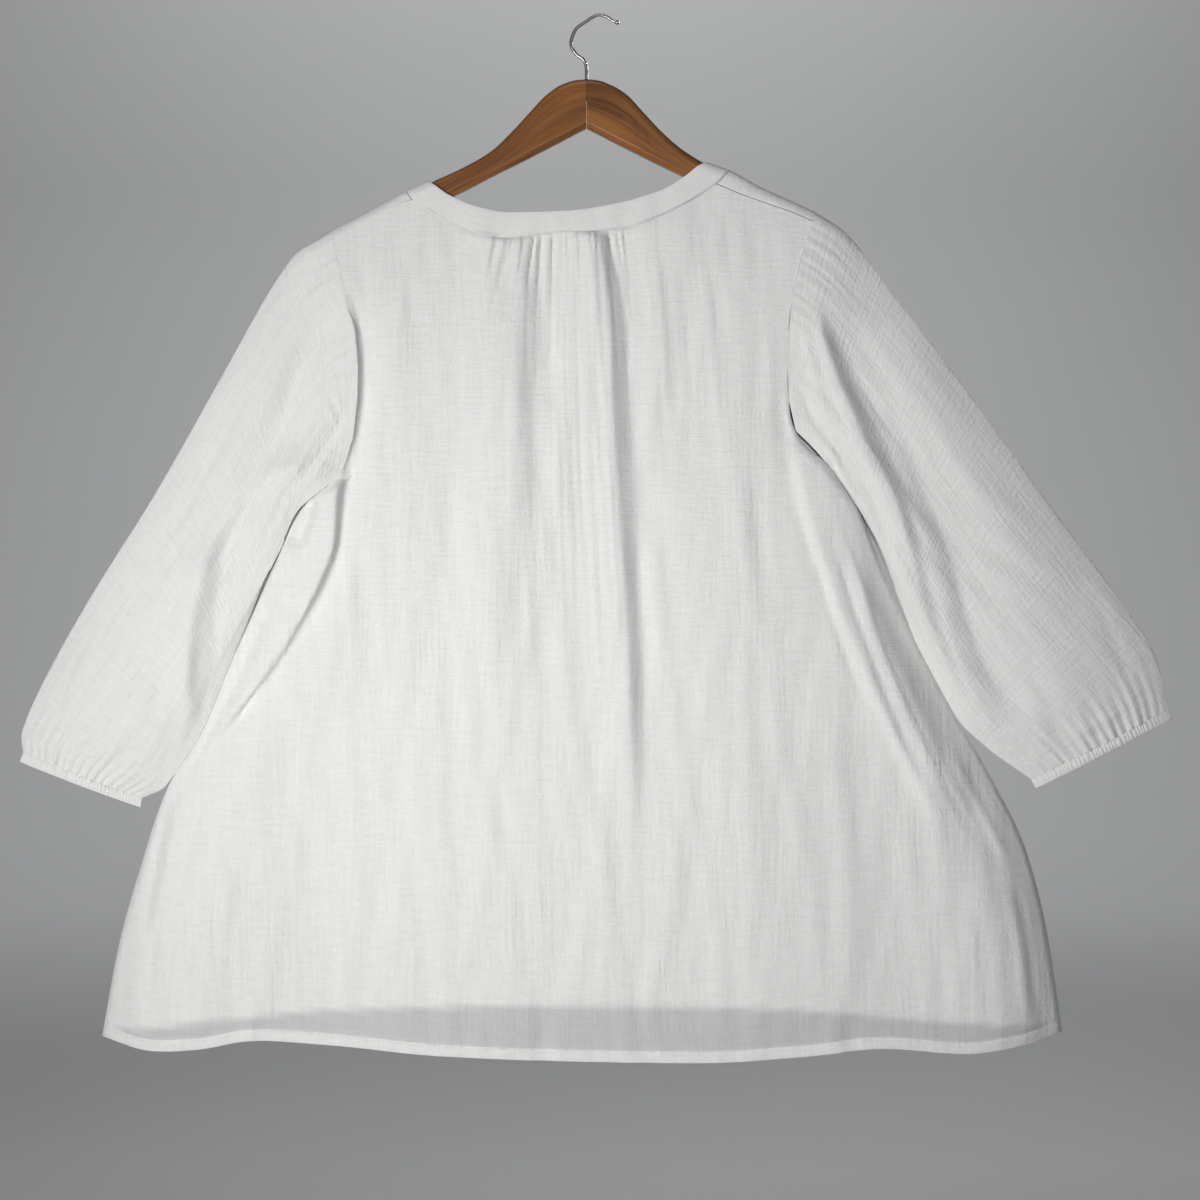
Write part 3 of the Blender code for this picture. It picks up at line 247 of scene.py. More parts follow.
# Half depth of the body: drop, back, front
bodyDepth = np.array([
    (120.0, 9.0, 9.0), (180.0, 10.0, 10.0), (240.0, 12.5, 12.5), (320.0, 15.5, 15.5), (400.0, 19.0, 19.0),
    (500.0, 24.0, 23.0), (600.0, 28.0, 27.0), (720.0, 32.0, 31.0), (860.0, 35.0, 34.0),
])
# Hem: x, back drop, front drop
hemLine = np.array([
    (402.0, 839.5, 839.5), (354.0, 848.7, 836.0), (320.0, 847.0, 831.0), (271.0, 839.5, 826.0),
    (205.0, 843.7, 821.0), (122.0, 852.0, 818.0), (22.0, 856.1, 817.0), (-94.0, 857.8, 818.0),
    (-177.0, 852.8, 821.0), (-244.0, 846.2, 826.0), (-310.0, 850.3, 831.0), (-355.0, 845.0, 834.0),
    (-394.7, 835.5, 835.5),
])

# Folds: path of (x, drop), height, spread to +X, spread to -X, and where it hangs over, its lean towards +X
backFolds = [
    (((4, 140), (-7, 176), (-14, 208), (-18, 240), (-20, 312), (-25, 395), (-31, 478), (-36, 600), (-40, 700)),
     5.0, 20, 6),
    (((-10, 140), (-21, 176), (-29, 208), (-34, 240), (-37, 312), (-42, 395), (-47, 478), (-52, 600), (-58, 700)),
     -5.2, 8, 30),
    (((62, 140), (68, 180), (72, 240), (73, 330), (78, 470), (84, 620)), 5.0, 30, 24),
    (((24, 150), (26, 190), (30, 250), (34, 330)), -4.4, 22, 12),
    (((50, 165), (53, 215), (56, 300), (62, 430)), 2.6, 9, 8),
    (((6, 150), (-2, 190), (-5, 240), (-6, 300)), 1.6, 4, 9),
    (((199, 322), (206, 362), (210, 396), (212, 430), (223, 461), (243, 498), (259, 526), (283, 557), (310, 589),
      (330, 618)), 9.0, 28, 5.0, -4.0),
    (((194, 340), (199, 372), (200, 400), (203, 430), (213, 466), (233, 503), (252, 535)), -3.0, 5, 14),
    (((-174, 335), (-183, 395), (-198, 445), (-222, 512), (-259, 595), (-297, 668)), 6.5, 7, 46, 2.0),
    (((-219, 445), (-248, 520), (-293, 620), (-314, 670)), 3.0, 10, 10),
    (((225, 540), (222, 690), (228, 850)), -4.0, 50, 50),
    (((-232, 570), (-256, 720), (-268, 850)), -4.0, 44, 44),
    (((300, 690), (312, 770), (318, 855)), 3.0, 24, 24),
    (((-335, 690), (-350, 770), (-356, 855)), 3.0, 22, 22),
    (((-125, 590), (-135, 700), (-140, 858)), 3.0, 40, 40),
    (((-78, 190), (-85, 290), (-88, 400)), -2.5, 24, 30),
]
frontFolds = [
    (((200, 385), (208, 440), (232, 500), (268, 580), (305, 650)), 6.0, 26, 12),
    (((-170, 350), (-184, 410), (-212, 490), (-250, 580), (-290, 660)), 6.0, 12, 26),
    (((95, 215), (108, 360), (120, 560), (130, 822)), 3.0, 30, 30),
    (((-62, 215), (-78, 360), (-92, 560), (-100, 822)), 3.0, 30, 30),
    (((18, 330), (20, 520), (22, 820)), -3.5, 40, 40),
    (((232, 560), (240, 690), (245, 828)), -5.0, 42, 42),
    (((-215, 560), (-230, 690), (-238, 828)), -5.0, 42, 42),
]
# Finer creases, laid over the main folds
backCreases = [
    (((28, 262), (31, 276), (36, 284)), -1.1, 2.0, 3.0),
    (((24, 240), (27, 262), (34, 280)), 0.7, 4.0, 3.0),
    (((-6, 235), (-9, 300), (-14, 400)), -0.7, 2.4, 2.0),
    (((-1, 240), (-3, 330), (-8, 470), (-12, 560)), 0.6, 3.0, 2.5),
    (((-14, 300), (-18, 400), (-24, 500)), -0.8, 1.8, 2.0),
    (((-16, 330), (-21, 430), (-26, 520)), 0.6, 2.0, 2.0),
    (((-58, 190), (-62, 260), (-64, 330)), 0.9, 7.0, 4.0),
    (((8, 250), (5, 340), (2, 450)), -0.8, 2.0, 2.2),
    *fan(((46, 178), (48, 230), (50, 300)), ((-28, 174), (-34, 226), (-40, 296)), 14, -0.9, 1.5),
    *fan(((-50, 176), (-58, 250), (-64, 350)), ((-104, 170), (-114, 250), (-120, 350)), 8, -0.7, 2.2),
    *fan(((26, 300), (22, 400), (18, 520)), ((-14, 290), (-20, 390), (-28, 510)), 9, 0.8, 1.8),
    (((44, 300), (42, 420), (38, 560)), -0.7, 3.0, 5.0),
    (((52, 330), (49, 450), (46, 600)), 0.5, 4.0, 3.0),
    (((80, 400), (78, 520), (76, 660)), 0.5, 6.0, 6.0),
    (((120, 380), (116, 520), (112, 700)), -0.6, 9.0, 8.0),
    (((150, 300), (147, 420), (150, 560)), 0.5, 7.0, 9.0),
    (((176, 250), (172, 330), (170, 420)), 0.5, 7.0, 5.0),
    (((-110, 240), (-116, 340), (-118, 460)), 0.6, 8.0, 8.0),
    (((-132, 260), (-138, 360), (-144, 500)), -0.6, 6.0, 8.0),
    (((-150, 200), (-152, 300), (-158, 420)), 0.5, 6.0, 5.0),
    (((-60, 420), (-66, 560), (-74, 740)), 0.6, 8.0, 8.0),
    (((-84, 520), (-92, 660), (-98, 820)), -0.6, 9.0, 9.0),
    (((18, 560), (16, 680), (14, 800)), -0.5, 8.0, 8.0),
    (((60, 600), (58, 700), (60, 820)), 0.5, 9.0, 9.0),
    (((-10, 620), (-14, 720), (-18, 830)), 0.5, 9.0, 9.0),
    # the trough beside the left armhole, under the sleeve's edge
    (((198, 216), (190, 246), (183, 276), (183, 316), (189, 350), (197, 376), (200, 410)), -5.0, 6.0, 14.0),
    # the hollow under the left arm and its small dark tuck
    (((228, 384), (229, 398), (232, 410), (238, 424), (246, 436)), -7.0, 8.0, 5.0),
    (((236, 420), (235, 436), (234, 450)), -2.0, 1.6, 2.2),
    (((240, 410), (252, 440), (262, 466)), 1.4, 3.0, 3.0),
    (((-158, 300), (-163, 330), (-168, 362), (-175, 394), (-189, 440), (-206, 495)), -1.8, 8.0, 4.0),
    # left side: lines that run down from the side roll, and the narrow tucks beside the seam
    (((231, 470), (250, 512), (276, 556), (300, 600)), -2.0, 2.2, 2.6),
    (((240, 440), (262, 500), (290, 560), (322, 618)), 1.7, 3.0, 3.0),
    (((262, 480), (288, 540), (318, 600), (338, 640)), -1.9, 2.4, 2.4),
    (((318, 640), (330, 690), (345, 760)), -2.4, 3.0, 4.0),
    (((330, 630), (344, 690), (358, 760)), 2.0, 4.0, 4.0),
    (((345, 640), (357, 700), (368, 770)), -1.7, 2.6, 2.6),
    (((312, 650), (320, 720), (330, 800)), 1.7, 5.0, 4.0),
    (((352, 740), (358, 780), (362, 835)), -1.5, 3.0, 3.0),
    (((336, 760), (341, 800), (345, 838)), 1.5, 4.0, 4.0),
    (((285, 700), (290, 770), (292, 830)), -1.2, 5.0, 6.0),
    # right side
    (((-205, 430), (-224, 490), (-250, 560), (-280, 630)), -2.4, 2.4, 2.8),
    (((-212, 420), (-232, 480), (-262, 560), (-300, 640)), 2.0, 3.0, 3.0),
    (((-230, 470), (-256, 540), (-292, 620), (-322, 680)), -1.9, 2.4, 2.6),
    (((-300, 600), (-330, 660), (-350, 700)), 2.0, 4.0, 3.0),
    (((-190, 440), (-205, 500), (-232, 570)), -1.5, 2.6, 2.6),
    (((-268, 722), (-300, 712), (-330, 710), (-356, 716)), -1.4, 3.0, 3.0),
    (((-276, 732), (-310, 722), (-350, 728)), 1.0, 4.0, 4.0),
    (((-352, 700), (-364, 760), (-372, 828)), -1.7, 3.0, 2.4),
    (((-345, 710), (-356, 770), (-362, 832)), 1.5, 3.0, 3.0),
    (((-318, 720), (-326, 780), (-330, 838)), -1.2, 4.0, 4.0),
    (((-286, 640), (-296, 720), (-304, 830)), 1.2, 7.0, 7.0),
    (((-200, 560), (-214, 680), (-222, 830)), 1.2, 10.0, 10.0),
]
frontCreases = [
    (((60, 250), (66, 340), (70, 460)), 0.9, 5.0, 7.0),
    (((-30, 255), (-36, 340), (-40, 460)), 0.9, 7.0, 5.0),
    (((40, 300), (42, 430), (44, 600)), -0.8, 4.0, 4.0),
    (((-12, 310), (-14, 430), (-18, 620)), -0.8, 4.0, 4.0),
    (((16, 309), (17, 350), (18, 420)), 1.0, 4.0, 4.0),
    (((140, 240), (150, 330), (156, 450)), 0.7, 8.0, 8.0),
    (((-112, 230), (-120, 320), (-126, 440)), 0.7, 8.0, 8.0),
    (((180, 300), (178, 400), (184, 500)), -0.8, 5.0, 5.0),
    (((-152, 280), (-150, 370), (-156, 470)), -0.8, 5.0, 5.0),
    (((90, 480), (94, 640), (98, 815)), -0.7, 8.0, 8.0),
    (((-60, 500), (-64, 650), (-70, 815)), -0.7, 8.0, 8.0),
    (((228, 480), (256, 550), (290, 620)), -1.2, 2.6, 3.0),
    (((244, 470), (274, 545), (312, 620)), 1.1, 3.2, 3.0),
    (((-200, 450), (-230, 530), (-270, 620)), -1.2, 3.0, 2.6),
    (((-214, 440), (-246, 520), (-292, 620)), 1.1, 3.0, 3.2),
    (((320, 650), (334, 720), (346, 800)), -1.2, 4.0, 4.0),
    (((300, 660), (310, 740), (318, 822)), 1.0, 6.0, 5.0),
    (((352, 680), (362, 750), (372, 825)), 0.9, 4.0, 4.0),
    (((-310, 650), (-328, 720), (-342, 800)), -1.2, 4.0, 4.0),
    (((-290, 660), (-302, 740), (-312, 822)), 1.0, 5.0, 6.0),
    (((-345, 690), (-356, 760), (-366, 822)), 0.9, 4.0, 4.0),
    (((160, 560), (164, 680), (168, 815)), 0.6, 9.0, 9.0),
    (((-150, 560), (-156, 680), (-160, 815)), 0.6, 9.0, 9.0),
]

ridgeLine = heightBy(shoulderLine)
depthLine = {1: smooth(bodyDepth[:, 0], bodyDepth[:, 1]), -1: smooth(bodyDepth[:, 0], bodyDepth[:, 2])}
hemHeight = {1: heightBy(hemLine), -1: heightBy(hemLine, 2)}
edgeRows = np.concatenate([armhole[:-1], sideSeam])
edgeLine = {1: smooth(edgeRows[:, 1], edgeRows[:, 0]), -1: smooth(edgeRows[:, 3], edgeRows[:, 2])}


def edgeX(z, hand):
    # x of the body's side edge at a height, hand 1 for the wearer's left and -1 for the right.
    return edgeLine[hand](-np.asarray(z, float))


def edgePoint(v, hand):
    # (x, z) of the side edge: v up to underarmRow goes down the armhole, the rest down the side seam.
    column = 1 if hand > 0 else 3
    drops = (armhole[0, column], armhole[-1, column], sideSeam[-1, column])
    z = -np.interp(v, (0, cut["underarmRow"], 1), drops)
    return np.stack([edgeX(z, hand), z], axis=-1)


def armholeDepth(x, z):
    # Half depth of the armhole at this height on the nearer side: nothing from the underarm down.
    left = x > split["x"]
    tip = np.where(left, armhole[0, 1], armhole[0, 3])
    foot = np.where(left, armhole[-1, 1], armhole[-1, 3])
    share = np.clip((-z - tip) / (foot - tip), 0, 1)
    return cut["armholeDeep"] * lens(cut["armholeTop"] + (1 - cut["armholeTop"]) * share)


gathers = {"count": 15, "from": 77.0, "to": -29.0, "high": 2.8, "spread": 2.3, "gap": 1.2, "lean": 0.14}


def belowNeck(x, z):
    # How far a point lies below the gathered part of the back's neck seam, a rough line.
    return np.interp(x, [-150, -30, 70, 150], [-160, -171, -178, -160]) - z


def neckGathers(x, z):
    # The gathers below the back's neck seam: a rounded ridge each, with sharp lows between, each to its own length.
    number = np.arange(gathers["count"])
    step = (gathers["to"] - gathers["from"]) / (gathers["count"] - 1)
    tops = gathers["from"] + step * (number + 0.22 * np.sin(number * 2.1))
    below = belowNeck(x, z)
    total = np.zeros(np.shape(x))
    for i, top in enumerate(tops):
        long = 26 + 46 * uneven(i, 0.0)
        lean = (top - split["x"]) * gathers["lean"] * below / long
        fade = np.clip(1 - below / long, 0, 1)
        total += gathers["high"] * uneven(i) * fade * np.exp(-(((x - top - lean) / gathers["spread"]) ** 2))
        low = top + step * (0.45 + 0.1 * np.sin(i * 1.3))
        deep = 2.7 * uneven(i + 4, 0.4) * np.clip(1 - below / (long * 1.4 + 14), 0, 1)
        total -= deep * np.exp(-(((x - low - lean * 1.2) / gathers["gap"]) ** 2))
        fine = top + step * 0.8
        small = 0.35 * uneven(i + 9, 0.2) * np.clip(1 - below / (long * 0.7), 0, 1)
        total += small * np.exp(-(((x - fine - lean) / 0.8) ** 2))
    return total * ease((below + 1) / 5)


def besideUnderarm(z, x):
    # 1 near the underarm's height and 0 from 130 mm away.
    foot = np.where(x > split["x"], armhole[-1, 1], armhole[-1, 3])
    return ease(1 - np.abs(-z - foot - 20) / 130)


rounding = {
    "edge": 3, "edgeShare": 0.12,  # the small round at the side fold
    "full": (0.7, 0.9), "fullEdge": 5,  # how much fuller the left and the right side are beside the underarm
    "foldsFrom": 26, "foldsSooner": 17, "roofFade": 12,  # where the folds begin, from the side and from the shoulder
}


def body(x, z, side, fine=True):
    # Outer point of the body's wall at (x, z), side 1 the back and -1 the front: the depth table, rounded over the
    # shoulders and at the sides, plus folds, creases, gathers and the cloth's own unevenness.
    x, z = np.broadcast_arrays(np.asarray(x, float), np.asarray(z, float))
    roof = np.clip(ridgeLine(x) - z, 0, None)
    z = np.minimum(z, ridgeLine(x))
    left = x > split["x"]
    out = np.where(left, edgeX(z, 1) - x, x - edgeX(z, -1))
    over = arch(roof / cut["roofRound"])
    near = besideUnderarm(z, x)
    full = np.where(left, *rounding["full"]) * near
    small, inwards = rounding["edgeShare"], np.clip(out / cut["sideFlat"], 0, 1)
    turn = small * arch(out / rounding["edge"]) + (1 - small) * (1 - (1 - inwards) ** 1.8)
    turn = (1 - full) * turn + full * arch(out / rounding["fullEdge"])
    atArm = armholeDepth(x, z)
    height, leanX, leanZ = field(backFolds if side > 0 else frontFolds, x, z)
    if side > 0:
        height = height + neckGathers(x, z)
    offRoof = ease(roof / rounding["roofFade"])
    fade = ease(out / (rounding["foldsFrom"] - rounding["foldsSooner"] * near)) * offRoof
    if side > 0:
        fade = fade * ease((belowNeck(x, z) + 1) / 6)
    height = height * fade
    if fine:
        creases = field(backCreases if side > 0 else frontCreases, x, z)[0]
        height = height + creases * ease(out / 6) * offRoof
        height = height + crumple(x, z, 1.0 + side) * ease(roof / 60) * ease(out / 20)
    y = over * (atArm + (depthLine[side](-z) - atArm) * turn) + height
    y = np.where(roof > 0, np.maximum(y, cut["seam"] / 2), y)
    return np.stack([x + leanX * fade, side * y, z + leanZ * fade], axis=-1)


def coons(top, bottom, left, right, u, v):
    # A patch between four edge curves, across by u and down by v.
    first, last = top(0.0), top(1.0)
    low, high = bottom(0.0), bottom(1.0)
    u, v = np.broadcast_arrays(u, v)
    uu, vv = u[..., None], v[..., None]
    return (
        (1 - vv) * top(u) + vv * bottom(u) + (1 - uu) * left(v) + uu * right(v)
        - (1 - vv) * ((1 - uu) * first + uu * last) - vv * ((1 - uu) * low + uu * high)
    )


# ---- making meshes


def gridFaces(rows, columns, start=0, ring=False, flip=False, keep=None):
    # One quad for each cell of a grid of points, numbered row by row. A ring also joins its last column to its
    # first, and keep says which cells stay.
    r, c = np.meshgrid(np.arange(rows - 1), np.arange(columns if ring else columns - 1), indexing="ij")
    upper, lower, following = r * columns, (r + 1) * columns, (c + 1) % columns
    quads = np.stack([upper + c, lower + c, lower + following, upper + following], axis=-1)
    if keep is not None:
        quads = quads[keep]
    quads = quads.reshape(-1, 4) + start
    return quads[:, ::-1] if flip else quads


def makeMesh(name, points, quads, material, uv=None, fields=None, merge=False):
    # A mesh from points in millimetres and quads. uv is in millimetres too, and fields are values at the points.
    # merge joins points that coincide; a quad with two equal corners becomes a triangle.
    points = np.asarray(points, float).reshape(-1, 3)
    uv = None if uv is None else np.asarray(uv, float).reshape(-1, 2)
    loopUv = None if uv is None else uv[quads].reshape(-1, 2)
    fields = {key: np.ravel(value) for key, value in (fields or {}).items()}
    if merge:
        _, first, index = np.unique(np.round(points, 3), axis=0, return_index=True, return_inverse=True)
        quads, points = index.reshape(-1)[quads], points[first]
        fields = {key: value[first] for key, value in fields.items()}
    same = quads == np.roll(quads, -1, axis=1)
    whole = ~same.any(axis=1)
    halves = same.sum(axis=1) == 1
    keep = ~same[halves]
    loopNumber = np.arange(quads.size).reshape(-1, 4)
    corners = np.concatenate([quads[whole].ravel(), quads[halves][keep]])
    loops = np.concatenate([loopNumber[whole].ravel(), loopNumber[halves][keep]])
    counts = np.repeat([4, 3], [whole.sum(), halves.sum()])
    used, corners = np.unique(corners, return_inverse=True)
    corners = corners.reshape(-1)
    data = bpy.data.meshes.new(name)
    data.vertices.add(len(used))
    data.vertices.foreach_set("co", (points[used] * millimetre).ravel())
    data.loops.add(len(corners))
    data.loops.foreach_set("vertex_index", corners.astype(np.int32))
    data.polygons.add(len(counts))
    data.polygons.foreach_set("loop_start", np.concatenate([[0], np.cumsum(counts)[:-1]]).astype(np.int32))
    data.update(calc_edges=True)
    if loopUv is not None:
        layer = data.uv_layers.new(name="cloth")
        layer.data.foreach_set("uv", (loopUv[loops] * millimetre).ravel())
    for key, value in fields.items():
        layer = data.attributes.new(key, "FLOAT", "POINT")
        layer.data.foreach_set("value", value[used].astype(np.float32))
    data.validate()
    data.shade_smooth()
    data.materials.append(material)
    made = bpy.data.objects.new(name, data)
    bpy.context.scene.collection.objects.link(made)
    return made


def giveThickness(piece, thick):
    # Solidify turns the outer skin into a closed sheet, inwards; its cut edges are kept sharp.
    solid = piece.modifiers.new("cloth thickness", "SOLIDIFY")
    solid.thickness, solid.offset, solid.use_even_offset = thick * millimetre, -1.0, False
    ready = bpy.context.evaluated_depsgraph_get()
    shape = piece.evaluated_get(ready)
    sheet = bpy.data.meshes.new_from_object(shape, preserve_all_data_layers=True, depsgraph=ready)
    piece.modifiers.clear()
    sheet.set_sharp_from_angle(angle=np.radians(62))
    piece.data = sheet


def register(piece, slot, *nodes):
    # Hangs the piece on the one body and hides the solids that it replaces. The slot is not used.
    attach(piece, "root")
    if nodes:
        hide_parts(*nodes)


# ---- materials


class Nodes:
    # Short ways to add and join shader nodes.
    def __init__(self, name):
        self.material = bpy.data.materials.new(name)
        self.material.use_nodes = True
        self.tree = self.material.node_tree
        self.shader = self.tree.nodes["Principled BSDF"]

    def add(self, kind, inputs=None, **settings):
        node = self.tree.nodes.new(kind)
        for key, value in settings.items():
            setattr(node, key, value)
        for key, value in (inputs or {}).items():
            if isinstance(value, bpy.types.NodeSocket):
                self.tree.links.new(value, node.inputs[key])
            else:
                node.inputs[key].default_value = value
        return node

    def math(self, operation, *values):
        return self.add("ShaderNodeMath", dict(enumerate(values)), operation=operation).outputs[0]

    def noise(self, vector, scale, detail=2.0, rough=0.5, distortion=0.0):
        inputs = {"Vector": vector, "Scale": scale, "Detail": detail, "Roughness": rough, "Distortion": distortion}
        return self.add("ShaderNodeTexNoise", inputs).outputs["Fac"]

    def stretch(self, vector, across, down, turn=0.0):
        inputs = {"Vector": vector, "Scale": (across, down, 1.0), "Rotation": (0, 0, turn)}
        return self.add("ShaderNodeMapping", inputs).outputs["Vector"]

    def place(self):
        return self.add("ShaderNodeUVMap", uv_map="cloth").outputs["UV"]

    def remap(self, value, low=0.0, high=1.0, least=0.0, most=1.0):
        inputs = {"Value": value, "From Min": low, "From Max": high, "To Min": least, "To Max": most}
        return self.add("ShaderNodeMapRange", inputs).outputs[0]

    def total(self, *parts):
        # The sum of values, each times its own factor.
        scaled = [self.math("MULTIPLY", value, factor) for value, factor in parts]
        result = scaled[0]
        for value in scaled[1:]:
            result = self.math("ADD", result, value)
        return result

    def bump(self, height):
        return self.add("ShaderNodeBump", {"Height": height, "Strength": 1.0, "Distance": 1.0}).outputs[0]

    def mixColour(self, share, first, second):
        node = self.add("ShaderNodeMix", data_type="RGBA", blend_type="MIX")
        for socket, value in ((node.inputs[0], share), (node.inputs[6], first), (node.inputs[7], second)):
            if isinstance(value, bpy.types.NodeSocket):
                self.tree.links.new(value, socket)
            else:
                socket.default_value = value
        return node.outputs[2]

    def set(self, **values):
        for key, value in values.items():
            socket = self.shader.inputs[key.replace("_", " ")]
            if isinstance(value, bpy.types.NodeSocket):
                self.tree.links.new(value, socket)
            else:
                socket.default_value = value


gauze = {
    "light": (0.90, 0.90, 0.885, 1),
    # the next colour is painted shade for the troughs of the wrinkles and rows, partly the thinner weave there
    "weaveAndTroughShade": (0.69, 0.70, 0.69, 1),
    # the next two colours are for places with only one layer: partly its own lower whiteness, partly painted shade
    # for the dark behind showing through
    "thin": (0.64, 0.64, 0.635, 1),  # where only one layer hangs
    "thinShade": (0.50, 0.505, 0.50, 1),
    "rough": 0.92,
    "sheen": 0.12,
    "wrinkle": 0.00037,  # metres: height of the long wrinkles of double gauze
    "ladder": 0.00038,  # of the small cross rows
    "weave": 0.00004,
}


def makeGauze(name, wrinkle=1.0, ladder=1.0):
    # Double gauze: long wrinkles down the grain, small rows across it and a fine open weave. The colour is darker
    # where the wrinkles, rows and cells are low: painted shade in the troughs, partly the thinner weave there. The
    # attribute thin is 1 where no other layer of the garment hangs behind the cloth; there the colour is darker,
    # partly the one layer's own lower whiteness and partly painted shade for the dark behind showing through.
    n = Nodes(name)
    place = n.place()
    bend = n.noise(n.stretch(place, 30, 22), 1.0, 2.0)
    sway = n.add("ShaderNodeVectorMath", {0: (0.006, 0.003, 0), 3: 1.0}, operation="SCALE")
    n.tree.links.new(bend, sway.inputs[3])
    warped = n.add("ShaderNodeVectorMath", {0: place, 1: sway.outputs[0]}, operation="ADD").outputs[0]
    long = n.noise(n.stretch(warped, 290, 24), 1.0, 3.0, 0.55)
    slow = n.noise(n.stretch(warped, 75, 5), 1.0, 2.0, 0.5)
    rows = n.noise(n.stretch(warped, 46, 380), 1.0, 2.0, 0.5)
    cells = n.noise(n.stretch(place, 420, 300), 1.0, 1.0, 0.5)
    weave = n.noise(n.stretch(place, 1400, 1400), 1.0, 1.0, 0.6)
    patch = n.noise(n.stretch(place, 9, 5), 1.0, 2.0)
    strength = n.remap(patch, 0.35, 0.65, 0.45, 1.2)
    deep, low = gauze["wrinkle"] * wrinkle, gauze["ladder"] * ladder
    height = n.total(
        (n.math("MULTIPLY", long, strength), deep * 2), (slow, deep * 2), (rows, low * 2), (cells, low),
        (weave, gauze["weave"]),
    )
    # painted shade: darker colour where the long wrinkles, rows and cells are low, partly the thinner weave there
    weaveAndTroughShade = n.total(
        (n.math("SUBTRACT", 0.62, long), 0.55 * wrinkle), (n.math("SUBTRACT", 0.6, rows), 0.50 * ladder),
        (n.math("SUBTRACT", 0.6, cells), 0.35 * ladder),
    )
    # painted shade where only one layer hangs, partly that layer's own lower whiteness
    thin = n.add("ShaderNodeAttribute", attribute_name="thin").outputs["Fac"]
    weaveAndTroughShade = n.add("ShaderNodeClamp", {"Value": weaveAndTroughShade}).outputs[0]
    colour = n.mixColour(weaveAndTroughShade, gauze["light"], gauze["weaveAndTroughShade"])
    colour = n.mixColour(thin, colour, n.mixColour(weaveAndTroughShade, gauze["thin"], gauze["thinShade"]))
    n.set(Base_Color=colour, Roughness=gauze["rough"], Normal=n.bump(height))
    n.set(Sheen_Weight=gauze["sheen"], Sheen_Roughness=0.6, Specular_IOR_Level=0.2)
    return n.material


wood = {"dark": (0.085, 0.026, 0.006, 1), "light": (0.40, 0.155, 0.038, 1), "worn": (0.06, 0.02, 0.006, 1)}


def makeWood():
    # Varnished beech: streaks along the arm, a few darker pores, small smudges, under a clear coat.
    n = Nodes("varnished beech")
    place = n.place()
    streak = n.noise(n.stretch(place, 9, 190), 1.0, 4.0, 0.6, 0.6)
    broad = n.noise(n.stretch(place, 7, 40), 1.0, 2.0, 0.5, 0.3)
    pores = n.noise(n.stretch(place, 90, 1500), 1.0, 2.0, 0.5)
    smudge = n.noise(n.stretch(place, 45, 60), 1.0, 3.0, 0.6)
    grain = n.math("ADD", n.math("MULTIPLY", streak, 0.6), n.math("MULTIPLY", broad, 0.5))
    colour = n.mixColour(n.remap(grain, 0.36, 0.74), wood["dark"], wood["light"])
    colour = n.mixColour(n.remap(smudge, 0.60, 0.74, most=0.55), colour, wood["worn"])
    colour = n.mixColour(n.remap(pores, 0.62, 0.70, most=0.45), colour, wood["dark"])
    rough = n.remap(smudge, least=0.22, most=0.42)
    bump = n.bump(n.math("MULTIPLY", streak, 0.00012))
    n.set(Base_Color=colour, Roughness=rough, Normal=bump, Coat_Weight=0.35, Coat_Roughness=0.16)
    return n.material


def makeSteel():
    # Bright drawn wire: fine lines round the wire and a little dulling.
    n = Nodes("bright wire")
    place = n.place()
    lines = n.noise(n.stretch(place, 60, 2500), 1.0, 2.0, 0.5)
    dull = n.noise(n.stretch(place, 160, 160), 1.0, 3.0, 0.6)
    rough = n.remap(dull, least=0.18, most=0.38)
    colour = n.mixColour(dull, (0.66, 0.64, 0.60, 1), (0.46, 0.43, 0.39, 1))
    n.set(Base_Color=colour, Roughness=rough, Metallic=1.0, Normal=n.bump(n.math("MULTIPLY", lines, 0.00003)))
    return n.material


def makePlain(name, colour, rough):
    # Painted floor and wall: one colour with a faint mottle.
    n = Nodes(name)
    place = n.add("ShaderNodeTexCoord").outputs["Object"]
    mottle = n.noise(place, 2.0, 3.0)
    darker = tuple(c * 0.96 for c in colour[:3]) + (1,)
    n.set(Base_Color=n.mixColour(mottle, colour, darker), Roughness=rough)
    return n.material


panelGauze = makeGauze("crinkled double gauze")
bandGauze = makeGauze("pressed double gauze", 0.45, 0.6)
print("materials made")


# ---- back panel

backPanel = {
    "columns": spaced((0, 0.06, 14), (0.06, 0.29, 44), (0.29, 0.68, 100), (0.68, 0.94, 50), (0.94, 1, 14)),
    "rows": spaced((0, 0.13, 40), (0.13, 1, 118)),
}
# Each row of the turned hem: how far above its upper edge, and how proud of the panel
hemSteps = (
    (0.9, 0.0), (0.45, 0.1), (0.0, 0.45), (-0.6, 0.62), (-2.6, 0.7), (-5.0, 0.62), (-7.2, 0.66), (-8.1, 0.5),
    (-8.5, 0.15),
)


def plainFoot(side):
    # (x, z) where the plain cloth ends, a little above the turned hem, from the left seam to the right one.
    def at(u):
        u = np.asarray(u, float)
        x = sideSeam[-1, 0] + (sideSeam[-1, 2] - sideSeam[-1, 0]) * u
        lift = cut["hemDeep"] + cut["aboveHem"] * ease(np.minimum(u, 1 - u) / 0.02)
        return np.stack([x, hemHeight[side](x) + lift], axis=-1)

    return at


hem = {"corner": 12, "pucker": 0.18, "every": 3.1, "wander": 17}


def hemRows(columns, side):
    # The turned hem: rows across its depth, each a little proud of the panel.
    left, right = sideSeam[-1, 0], sideSeam[-1, 2]
    x = left + (right - left) * columns
    rows = []
    for lift, proud in hemSteps:
        near = np.minimum(x - right, left - x)
        level = hemHeight[side](x) + (cut["hemDeep"] + lift) * ease(near / hem["corner"] + 0.4)
        row = body(np.clip(x, edgeX(level, -1), edgeX(level, 1)), level, side)
        pucker = hem["pucker"] * np.sin(x / hem["every"] + 2.0 * np.sin(x / hem["wander"]))
        pucker = pucker * ease((cut["hemDeep"] + lift) / 4) * (proud > 0.2)
        row[:, 1] += side * (proud + pucker) * ease(near / 3)
        rows.append(row)
    return np.array(rows)


